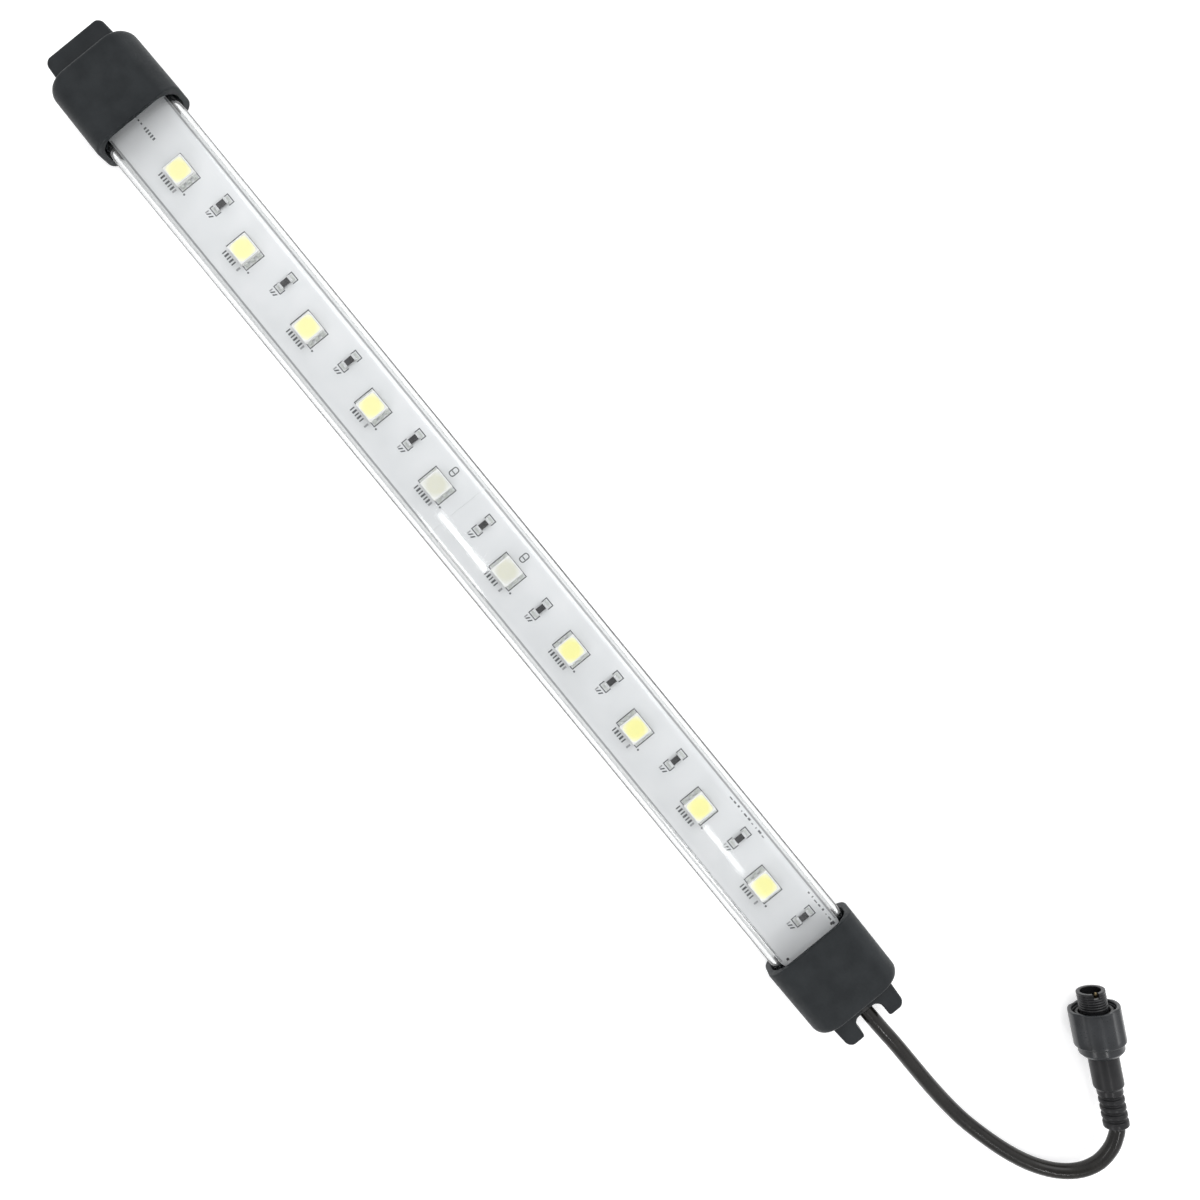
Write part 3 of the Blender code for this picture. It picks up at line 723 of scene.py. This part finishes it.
def cap_body():
    """The shell: from the end face over the outside, round the mouth's rim and in to the inner wall."""
    half_depth = CAP_SIZE.z / 2
    loops = []
    for turn in quarter_turn(8):
        x = CAP_END_X - CAP_EDGE + CAP_EDGE * math.cos(turn)
        rise = CAP_EDGE * (1 - math.sin(turn))
        width = cap_half_width(min(x, CAP_END_X - 0.001 * MM))
        loops.append(cap_section(x, width - rise * 0.3, half_depth - rise, CAP_RADIUS))
    bend_start = CAP_END_X - CAP_CORNER
    for i in range(1, 5):
        x = CAP_END_X - CAP_EDGE - (CAP_CORNER - CAP_EDGE) * i / 4
        loops.append(cap_section(x, cap_half_width(x), half_depth, CAP_RADIUS))
    for i in range(1, 6):
        x = bend_start + (CAP_MOUTH_X + CAP_RIM - bend_start) * i / 5
        loops.append(cap_section(x, cap_half_width(x), half_depth, CAP_RADIUS))
    wide, deep = TUBE_SIZE.y / 2 + CAP_FIT, TUBE_SIZE.z / 2 + CAP_FIT
    inner, inner_rim = TUBE_RADIUS + CAP_FIT, CAP_RIM * 0.6
    for turn in quarter_turn(5, 1):
        back = CAP_RIM * (1 - math.cos(turn))
        x = CAP_MOUTH_X + CAP_RIM * (1 - math.sin(turn))
        loops.append(
            cap_section(x, CAP_SIZE.y / 2 - back, half_depth - back, CAP_RADIUS - back)
        )
    for turn in quarter_turn(4):
        back = inner_rim * (1 - math.sin(turn))
        x = CAP_MOUTH_X + inner_rim * (1 - math.cos(turn))
        loops.append(cap_section(x, wide + back, deep + back, inner + back))
    for i in range(1, 5):
        x = CAP_MOUTH_X + CAP_RIM + (CAP_WALL_X - CAP_MOUTH_X - CAP_RIM) * i / 4
        loops.append(cap_section(x, wide, deep, inner))
    return loft("cap_body", loops)


def cap_tongue(has_slot):
    x, y = TIP_X, TONGUE_TIP_WIDTH / 2
    outline = [
        (CAP_END_X - TONGUE_OVERLAP, -TONGUE_BASE_WIDTH / 2),
        (x - TONGUE_CORNER, -y),
        (x, -y + TONGUE_CORNER),
        (x, y - TONGUE_CORNER),
        (x - TONGUE_CORNER, y),
        (CAP_END_X - TONGUE_OVERLAP, TONGUE_BASE_WIDTH / 2),
    ]
    if has_slot:
        w = SLOT_WIDTH / 2
        bottom = SLOT_BOTTOM_X
        inside = [
            (x, -w),
            (bottom + SLOT_CORNER, -w),
            (bottom, -w + SLOT_CORNER),
            (bottom, w - SLOT_CORNER),
            (bottom + SLOT_CORNER, w),
            (x, w),
        ]
        outline[3:3] = inside
    outline = softened(outline, TONGUE_SOFTNESS)
    tongue = plate("cap_tongue", [outline], TONGUE_THICKNESS, TONGUE_EDGE, 3)
    return moved(tongue, shift(0, 0, AXIS_Z))


def make_caps():
    black = moulded(
        "cap", (0.007, 0.0092, 0.0108), (0.014, 0.0168, 0.0188), 0.5, Specular_IOR_Level=0.25
    )
    for end, has_cable in (("plain", False), ("cable", True)):
        body = moved(cap_body(), shift(0, 0, AXIS_Z))
        cap = cut(body, [cap_tongue(has_cable)], "UNION")
        if has_cable:
            hole = turned("hole", [(0, 0), (1, 0), (1, 1), (0, 1)])
            reach = SLOT_BOTTOM_X - CAP_WALL_X
            size = Matrix.Diagonal((GLAND_RADIUS + CAP_FIT, GLAND_RADIUS + CAP_FIT, 2 * reach, 1))
            place = shift(CAP_WALL_X - reach / 2, 0, AXIS_Z)
            cap = cut(cap, [moved(hole, place @ ALONG_X @ size)])
        else:
            cap.transform(Matrix.Diagonal((-1, 1, 1, 1)))
            cap.flip_normals()
        cap.name = "cap_" + end
        piece("cap_" + end, cap, [black], "end_cap_" + end)


def board_outline(node, side):
    """The board's plan, with its outer corners rounded. side is -1 for the board at -X."""
    low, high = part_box(node)
    joint, outer = (high.x, low.x) if side < 0 else (low.x, high.x)
    joint -= side * BOARD_REACH
    half, r = (high.y - low.y) / 2, BOARD_CORNER
    start = 180 if side < 0 else 0
    corners = [
        arc((outer - side * r, -half + r), r, -90, start if side > 0 else -180),
        arc((outer - side * r, half - r), r, start, 90),
    ]
    return [(joint, -half), *corners[0], *corners[1], (joint, half)]


def make_boards():
    mask, edge = solder_mask(), board_edge()
    for node, side in (("board_a", -1), ("board_b", 1)):
        middle, size = span(node)
        loops = [board_outline(node, side)]
        if side > 0:
            loops += [circle((WIRE_HOLE_X, y), WIRE_HOLE_RADIUS) for y in (-WIRE_HOLE_Y, WIRE_HOLE_Y)]
        board = plate(node, loops, size.z, BOARD_EDGE)
        for face in board.polygons:
            is_side = abs(face.normal.z) < 0.5 and face.normal.x * side > -0.9
            face.material_index = int(is_side)
        piece("pcb_" + node[-1], moved(board, shift(0, 0, middle.z)), [mask, edge], node)
    # Painted shade: a dark disc sits inside each wire hole, so the hole reads dark.
    shade_disc_loops = [circle((WIRE_HOLE_X, y), WIRE_HOLE_RADIUS * 0.97) for y in (-WIRE_HOLE_Y, WIRE_HOLE_Y)]
    hole_shade = moved(plate("hole_shade_discs", shade_disc_loops, 0.1 * MM), shift(0, 0, span("board_b")[0].z))
    piece("hole_shade_discs", hole_shade, [ink("hole_shade", (0.03,) * 3, (0.06,) * 3)])


# What is printed on the boards, about each LED's or resistor's middle, in millimetres, and the painted
# shade along their long edges

INK_HEIGHT = 0.02 * MM
# Where the painted shade line along each long board edge lies, and its width, in millimetres
EDGE_SHADE_Y, EDGE_SHADE_WIDTH = 7.72, 0.5


def scaled(loops, x, y):
    return [[(x + px * MM, y + py * MM) for px, py in loop] for loop in loops]


def frame_loops(width, height, line, x=0.0, y=0.0):
    """A round-cornered line: its outer and its inner loop."""
    return [
        rounded_rectangle(width, height, 0.6, 6, (x, y)),
        rounded_rectangle(width - 2 * line, height - 2 * line, 0.6 - line, 6, (x, y)),
    ]


def led_marks(number):
    """The frame round an LED, its row of tally marks and its polarity dot."""
    dark = [bar(side * 3.42, 0, 0.22, 5.2) for side in (-1, 1)]
    dark += [bar(0, side * 2.5, 6.6, 0.18) for side in (-1, 1)]
    dark.append(circle((4.05, -2.55), 0.24, 12))
    marks = 5 + number % 2
    dark += [bar(-2.7 + 0.8 * i, -3.72, 0.3 + 0.16 * (i % 2), 1.15) for i in range(marks)]
    return dark, [bar(2.1, -3.72, 0.45, 1.05)]


def resistor_marks():
    """A bracket over and under the chip, and two small slanted ticks below."""
    dark = []
    for sy in (-1, 1):
        dark.append(bar(0, sy * 2.48, 2.4, 0.22))
        dark += [bar(sx * 1.09, sy * 1.75, 0.22, 1.24) for sx in (-1, 1)]
    slant = [(-0.7, -3.9), (-0.35, -3.9), (0.15, -3.0), (-0.2, -3.0)]
    dark += [slant, [(x + 0.75, y) for x, y in slant]]
    return dark, [bar(-0.9, -3.45, 0.3, 0.9)]


# Lays the dark and light ink marks, and the painted edge shade that goes with the light ones, just above
# the board's top.
def printed(name, dark, light, inks):
    z = BOARD_TOP_Z + INK_HEIGHT / 2
    parts = [
        (plate(name, loops, INK_HEIGHT), shift(0, 0, z), slot)
        for slot, loops in enumerate((dark, light))
    ]
    piece(name, joined(name, parts), inks)


def dashes(letter):
    """Short uneven marks: by the plain cap on board a, along the edge near the cable on board b."""
    if letter == "a":
        low = [bar(-117.2 + 1.0 * i, 0, 0.45, 0.35) for i in range(3)]
        return low + [bar(-113.9 + 0.75 * i, 0, 0.4, 0.7 + 0.2 * (i % 2)) for i in range(5)]
    starts = [79.9 + 1.2 * i for i in range(10)] + [106.5 + 1.2 * i for i in range(8)]
    return [
        bar(x, 6.55 + 0.07 * (i % 3), 0.9 - 0.22 * (i % 4), 0.26 + 0.12 * (i % 3))
        for i, x in enumerate(starts)
    ]


def painted_edge_shade(node, side):
    """Painted shade: the grey line along each long edge of a board, which runs up to the joint, standing in
    for the shade at the board's edge inside the tube.
    """
    low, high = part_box(node)
    middle = (high.x + low.x) / 2 - side * MM
    length = (high.x - low.x) / MM - 2
    return scaled([bar(0, sy * EDGE_SHADE_Y, length, EDGE_SHADE_WIDTH) for sy in (-1, 1)], middle, 0)


def make_print():
    inks = [
        ink("ink_dark", (0.045, 0.05, 0.055), (0.12, 0.125, 0.13)),
        ink("light_ink_and_edge_shade", (0.24, 0.245, 0.25), (0.36, 0.365, 0.37)),
    ]
    for letter, side, first_led, first_chip, chips in (("a", -1, 1, 1, 4), ("b", 1, 6, 5, 6)):
        dark, light = [], []
        for number in range(first_led, first_led + 5):
            x = span(f"led_{number:02d}")[0].x
            some_dark, some_light = led_marks(number)
            dark += scaled(some_dark, x, 0)
            light += scaled(some_light, x, 0)
        for number in range(first_chip, first_chip + chips):
            middle = span(f"resistor_{number:02d}")[0]
            some_dark, some_light = resistor_marks()
            dark += scaled(some_dark, middle.x, middle.y)
            light += scaled(some_light, middle.x, middle.y)
        near_joint = span("led_05" if letter == "a" else "led_06")[0].x
        ring = frame_loops(1.5, 2.4, 0.24, y=4.75) + [bar(0, 4.6, 0.9, 0.24)]
        dark += scaled(ring, near_joint, 0)
        dark += scaled(dashes(letter), 0, 0)
        # Painted shade: a grey line along each long edge, in the light ink's finish.
        light += painted_edge_shade("board_" + letter, side)
        printed("board_print_and_shade_" + letter, dark, light, inks)


LED_LIFT, LED_CORNER, LED_EDGE = 0.3 * MM, 0.18 * MM, 0.06 * MM
LED_WINDOW, LED_WINDOW_DEPTH, LED_WINDOW_CORNER = 4.4 * MM, 0.18 * MM, 0.75 * MM
GEL_DROP, GEL_DEPTH = 0.09 * MM, 0.1 * MM
LED_LEADS, LED_LEAD_PITCH, LED_LEAD_WIDTH = 3, 1.65 * MM, 0.95 * MM


def lead_places():
    """Where an LED's leads are along each of its sides."""
    return [(i - (LED_LEADS - 1) / 2) * LED_LEAD_PITCH for i in range(LED_LEADS)]


def led_mesh(name, size, materials):
    """One package: housing with a round-cornered window, gel in it, and three leads on each side."""
    side, height = size.y, size.z
    outline = rounded_rectangle(side, side, LED_CORNER, 4)
    window = rounded_rectangle(LED_WINDOW, LED_WINDOW, LED_WINDOW_CORNER, 8)
    rim = plate("rim", [outline, window], 2 * LED_WINDOW_DEPTH, LED_EDGE, 2)
    base_height = height - LED_LIFT - LED_WINDOW_DEPTH
    base = plate("base", [outline], base_height, LED_EDGE, 2)
    base_middle = LED_LIFT + base_height / 2
    gel_loops = []
    for share, sink in ((1.0, 0.0), (0.75, -0.015), (0.45, -0.03), (0.15, -0.035)):
        width = LED_WINDOW * share
        loop = rounded_rectangle(width, width, LED_WINDOW_CORNER * share, 8)
        gel_loops.append([(x, y, sink * MM) for x, y in loop])
    gel = loft("gel", [[(x, y, -GEL_DEPTH) for x, y, z in gel_loops[0]], *gel_loops])
    parts = [
        (base, shift(0, 0, base_middle), 0),
        (rim, shift(0, 0, height - LED_WINDOW_DEPTH), 0),
        (gel, shift(0, 0, height - GEL_DROP), 1),
    ]
    foot = (size.x - side) / 2
    bend = [(0, 0.75), (0.12, 0.75), (0.22, 0.62), (0.22, 0.16), (0.45, 0.16), (0.45, 0.02)]
    bend += [(0.06, 0.02), (0.06, 0.6), (0, 0.6)]
    profile = [(x * MM * foot / (0.45 * MM), z * MM) for x, z in bend]
    lead = plate("lead", [softened(profile, 0.05 * MM, 2)], LED_LEAD_WIDTH, 0.02 * MM, 1)
    upright = Matrix(((1, 0, 0, 0), (0, 0, -1, 0), (0, 1, 0, 0), (0, 0, 0, 1)))
    for y in lead_places():
        right = shift(side / 2 - 0.01 * MM, y, 0) @ upright
        parts += [(lead, right, 2), (lead, Matrix.Rotation(math.pi, 4, "Z") @ right, 2)]
    mesh = smoothed(joined(name, parts))
    for material in materials:
        mesh.materials.append(material)
    return mesh


def make_leds():
    housing = housing_white()
    tin = metal("tin", (0.66, 0.68, 0.65), (0.52, 0.54, 0.51), 0.4, shine=0.35)
    size = span("led_01")[1]
    # Painted glow: the warm and deep gels glow faintly to brighten their yellow, though the LEDs are not
    # lit.
    warm = phosphor("gel_warm", (0.93, 0.88, 0.38), (0.93, 0.92, 0.76), (0.90, 0.84, 0.40), 0.1)
    deep = phosphor("gel_deep", (0.90, 0.86, 0.32), (0.92, 0.91, 0.72), (0.86, 0.78, 0.30), 0.1)
    pale = phosphor("gel_pale", (0.75, 0.74, 0.59), (0.87, 0.87, 0.81), (0.56, 0.54, 0.42))
    meshes = {
        name: led_mesh(name, size, [housing, gel, tin])
        for name, gel in (("led_warm", warm), ("led_deep", deep), ("led_pale", pale))
    }
    for number in range(1, 11):
        kind = "led_pale" if number in (5, 6) else "led_warm" if number < 5 else "led_deep"
        node = f"led_{number:02d}"
        piece(f"light_{number:02d}", meshes[kind], [], node, matrix=foot_of(node))


def make_pads():
    """Flat tinned pads under every LED's leads and every resistor's ends."""
    inset = 0.1 * MM
    tin = metal("pad_tin", (0.68, 0.70, 0.67), (0.56, 0.58, 0.55), 0.45, 0.5 * MM, 0.3)
    loops = []
    for number in range(1, 11):
        middle, size = span(f"led_{number:02d}")
        for side in (-1, 1):
            for y in lead_places():
                x = middle.x + side * (size.x / 2 - inset)
                loops.append(rounded_rectangle(1.2 * MM, 1.1 * MM, 0.15 * MM, 3, (x, y)))
    for number in range(1, 11):
        middle, size = span(f"resistor_{number:02d}")
        for side in (-1, 1):
            y = middle.y + side * (size.y / 2 - inset)
            loops.append(rounded_rectangle(1.7 * MM, 1.3 * MM, 0.2 * MM, 3, (middle.x, y)))
    pads = moved(plate("board_pads", loops, INK_HEIGHT), shift(0, 0, BOARD_TOP_Z + INK_HEIGHT / 2))
    piece("board_pads", pads, [tin])


def make_resistors():
    """A ceramic chip with a printed black top and a wrapped metal terminal at each end."""
    ceramic = moulded("resistor", (0.012, 0.012, 0.013), (0.03, 0.03, 0.032), 0.35, 0.2 * MM)
    tin = metal("terminal_tin", (0.72, 0.73, 0.73), (0.56, 0.57, 0.57), 0.36, shine=0.35)
    size = span("resistor_01")[1]
    terminal, sink, core_width = 0.6 * MM, 0.06 * MM, 1.3 * MM
    outline = rounded_rectangle(core_width, size.y - 0.1 * MM, 0.08 * MM, 3)
    core = plate("core", [outline], size.z - sink, 0.05 * MM)
    end = plate("end", [rounded_rectangle(size.x, terminal, 0.1 * MM, 3)], size.z, 0.06 * MM)
    parts = [(core, shift(0, 0, (size.z - sink) / 2), 0)]
    for side in (-1, 1):
        parts.append((end, shift(0, side * (size.y - terminal) / 2, size.z / 2), 1))
    mesh = smoothed(joined("resistor", parts))
    for number in range(1, 11):
        node = f"resistor_{number:02d}"
        name = f"chip_{number:02d}"
        piece(name, mesh, [ceramic, tin], node, matrix=foot_of(node))


# The cable and its connector


def make_gland():
    low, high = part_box("cable_gland")
    flange_end = CAP_WALL_X - CAP_FIT
    profile = [
        (0, high.x),
        (CABLE_RADIUS + 0.1 * MM, high.x),
        (CABLE_RADIUS + 0.25 * MM, high.x - 0.2 * MM),
        (GLAND_RADIUS, high.x),
        (GLAND_RADIUS, flange_end),
        (GLAND_FLANGE_RADIUS, flange_end),
        (GLAND_FLANGE_RADIUS, GLAND_INNER_X),
        (0, GLAND_INNER_X),
    ]
    gland = turned("gland", softened(profile, 0.2 * MM, closed=False))
    rubber = moulded("gland", (0.012, 0.012, 0.012), (0.022, 0.022, 0.022), 0.6)
    piece("gland", moved(gland, shift(0, 0, AXIS_Z) @ ALONG_X), [rubber], "cable_gland")


def make_leads():
    colours = {
        "lead_pos": ((0.40, 0.015, 0.01), (0.55, 0.03, 0.02), "lead_red", 1),
        "lead_neg": ((0.012, 0.012, 0.012), (0.025, 0.025, 0.025), "lead_black", -1),
    }
    for node, (dark, light, slot, side) in colours.items():
        route = smooth_points([(x, side * y, z) for x, y, z in LEAD_ROUTE])
        wire = round_wire("wire_" + node[-3:], route, LEAD_RADIUS)
        piece(wire.name, wire, [moulded(wire.name, dark, light, 0.4)], node)


def make_cable():
    jacket = moulded(
        "cable", (0.006, 0.0055, 0.0048), (0.0125, 0.0115, 0.010), 0.3, 0.6 * MM, 0.003 * MM,
        Specular_IOR_Level=0.08, Coat_Weight=0.4, Coat_Roughness=0.2,
    )
    wire = round_wire("flex", smooth_points(CABLE_ROUTE), CABLE_RADIUS)
    return piece("flex", wire, [jacket], "cable")


def make_grip():
    """The moulded grip: a ribbed strain relief, a neck, and the flange that stops the nut."""
    relief, neck, bore, flange = 2.75 * MM, 3.25 * MM, 2.5 * MM, 4.2 * MM
    neck_start, bore_start = 9.0 * MM, 19.2 * MM
    flange_start, front = 23.5 * MM, 24.5 * MM
    groove, ribs, length = 0.5 * MM, 4, 8.4 * MM
    profile = [(0, bore_start), (bore, bore_start), (bore, front), (flange, front)]
    profile += [(flange, flange_start), (neck, flange_start), (neck, neck_start), (relief, length)]
    for i in range(ribs, 0, -1):
        middle = i * length / (ribs + 1)
        profile += [(relief, middle + 0.42 * MM), (relief - groove, middle + 0.2 * MM)]
        profile += [(relief - groove, middle - 0.2 * MM), (relief, middle - 0.42 * MM)]
    profile += [(relief, 0), (0, 0)]
    grip = turned("grip", softened(profile, 0.22 * MM, closed=False), 72)
    black = moulded(
        "connector_grip", (0.008, 0.008, 0.009), (0.017, 0.017, 0.018), 0.38, 0.35 * MM, 0.012 * MM,
        Specular_IOR_Level=0.12, Coat_Weight=0.2, Coat_Roughness=0.25,
    )
    return piece("grip", grip, [black], "connector_grip", matrix=CONNECTOR)


PIN_OFFSET = 1.0 * MM


def make_insert():
    """The contact carrier: a shank in the grip, and a threaded sleeve with a key notch."""
    sleeve, shank, socket, groove = 3.05 * MM, 2.2 * MM, 2.2 * MM, 0.13 * MM
    back, root, floor, front = 19.5 * MM, 24.8 * MM, 26.3 * MM, 30.0 * MM
    profile = [(0, floor), (socket, floor), (socket, front), (sleeve, front)]
    for i in range(6):
        start = (29.5 - 0.55 * i) * MM
        profile += [(sleeve, start), (sleeve - groove, start - 0.18 * MM)]
        profile += [(sleeve - groove, start - 0.26 * MM), (sleeve, start - 0.44 * MM)]
    profile += [(sleeve, root), (shank, root), (shank, back), (0, back)]
    insert = turned("insert", softened(profile, 0.12 * MM, closed=False), 72)
    notch = plate("notch", [rounded_rectangle(4.4 * MM, 1.3 * MM, 0.3 * MM, 4)], 2.2 * MM)
    cutters = [moved(notch, shift(sleeve, 0, front))]
    radius, depth = 0.75 * MM, 4.75 * MM
    for side in (-1, 1):
        hole = turned("pin_hole", [(0, 0), (radius, 0), (radius, depth), (0, depth)], 24)
        cutters.append(moved(hole, shift(0, side * PIN_OFFSET, 22.0 * MM)))
    black = moulded(
        "connector_insert", (0.006, 0.006, 0.007), (0.013, 0.013, 0.014), 0.3, 0.3 * MM, 0.006 * MM,
        Specular_IOR_Level=0.28,
    )
    mesh = cut(insert, cutters)
    return piece("insert", mesh, [black], "connector_insert", matrix=CONNECTOR)


def make_pins():
    brass = metal("brass", (0.24, 0.19, 0.11), (0.15, 0.115, 0.065), 0.42)
    radius, back = 0.45 * MM, 22.3 * MM
    profile = [(0, 29.3 * MM), (radius * 0.5, 29.25 * MM), (radius, 28.8 * MM)]
    profile += [(radius, back), (0, back)]
    made = []
    for end, side in (("pos", 1), ("neg", -1)):
        pin = turned("pin_" + end, softened(profile, 0.15 * MM, closed=False), 24)
        pin.transform(shift(0, side * PIN_OFFSET, 0))
        node = "contact_pin_" + end
        made.append(piece("pin_" + end, pin, [brass], node, matrix=CONNECTOR))
    return made


def make_o_ring():
    middle, section = 25.25 * MM, 0.45 * MM
    profile = circle((3.7 * MM, middle), section, 16)
    ring = turned("seal_ring", profile)
    rubber = moulded("o_ring", (0.008, 0.008, 0.009), (0.016, 0.016, 0.017), 0.45, 0.25 * MM)
    return piece("seal_ring", ring, [rubber], "connector_o_ring", matrix=CONNECTOR)


def make_washer():
    low, high, inner, outer = 19.0 * MM, 19.6 * MM, 3.55 * MM, 4.3 * MM
    profile = [(inner, high), (outer, high), (outer, low), (inner, low)]
    washer = turned("washer", softened(profile, 0.12 * MM))
    nylon = moulded("washer", (0.62, 0.61, 0.57), (0.72, 0.71, 0.67), 0.4, 0.3 * MM, 0.004 * MM)
    return piece(
        "washer", washer, [nylon], "slip_washer", body="washer", matrix=CONNECTOR
    )


NUT_STEP, NUT_FRONT = 18.5 * MM, 26.3 * MM
FLUTE_DEPTH, FLUTE_SPAN, FLUTE_START = 0.35 * MM, math.radians(30), math.radians(33)


def nut_radius(radius, z, turn):
    """The nut's outside has four shallow flutes between its step and its front."""
    if radius < 4.9 * MM or z < NUT_STEP:
        return radius
    quarter = math.pi / 2
    from_flute = (turn - FLUTE_START + quarter / 2) % quarter - quarter / 2
    if abs(from_flute) > FLUTE_SPAN / 2:
        return radius
    fade = min(1.0, max(0.0, (z - NUT_STEP) / (0.8 * MM)))
    return radius - FLUTE_DEPTH * math.cos(math.pi * from_flute / FLUTE_SPAN) * fade


def make_nut():
    outer, step, bore, hole = 5.5 * MM, 4.85 * MM, 4.6 * MM, 3.55 * MM
    back, bore_start, groove = 16.0 * MM, 18.7 * MM, 0.16 * MM
    profile = [(bore + 0.2 * MM, NUT_FRONT), (outer, NUT_FRONT)]
    for i in range(1, 8):
        profile.append((outer, NUT_FRONT + (NUT_STEP - NUT_FRONT) * i / 8))
    profile += [(outer, NUT_STEP), (step, NUT_STEP - 0.05 * MM), (step, 16.8 * MM)]
    profile += [(step - 0.8 * MM, back), (hole, back), (hole, bore_start), (bore, bore_start)]
    for i in range(8):
        start = (20.6 + 0.65 * i) * MM
        profile += [(bore, start), (bore - groove, start + 0.2 * MM)]
        profile += [(bore - groove, start + 0.3 * MM), (bore, start + 0.5 * MM)]
    profile.append((bore, NUT_FRONT - 0.2 * MM))
    nut = turned("nut", softened(profile, 0.25 * MM), 96, nut_radius)
    black = moulded(
        "coupling_nut", (0.009, 0.010, 0.0115), (0.020, 0.022, 0.025), 0.33, 0.4 * MM, 0.012 * MM,
        Specular_IOR_Level=0.22, Coat_Weight=0.25, Coat_Roughness=0.22,
    )
    return piece("nut", nut, [black], "coupling_nut", body="nut", matrix=CONNECTOR)


def dress_kept_nodes():
    """The CAD solids whose shape is right as it is get their finish."""
    plug = moulded("seal_rubber", (0.014, 0.014, 0.015), (0.026, 0.026, 0.027), 0.65)
    gasket = moulded("gasket_rubber", (0.05, 0.05, 0.052), (0.075, 0.075, 0.078), 0.75)
    solder = metal("solder", (0.78, 0.79, 0.80), (0.55, 0.56, 0.57), 0.28)
    kept = {"tube_plug": plug, "gasket": gasket, "jumper": solder}
    for name, node in frame["nodes"].items():
        for start, material in kept.items():
            if name.startswith(start):
                node.data.materials.clear()
                node.data.materials.append(material)


make_camera()
flex = make_cable()
on_cable = [make_grip(), make_insert(), *make_pins(), make_o_ring(), make_washer(), make_nut()]
make_world()
make_floor()
make_tube()
make_caps()
make_boards()
make_print()
make_pads()
make_leds()
make_resistors()
make_gland()
make_leads()
dress_kept_nodes()
make_lights()
bpy.context.scene.view_settings.view_transform = "Standard"
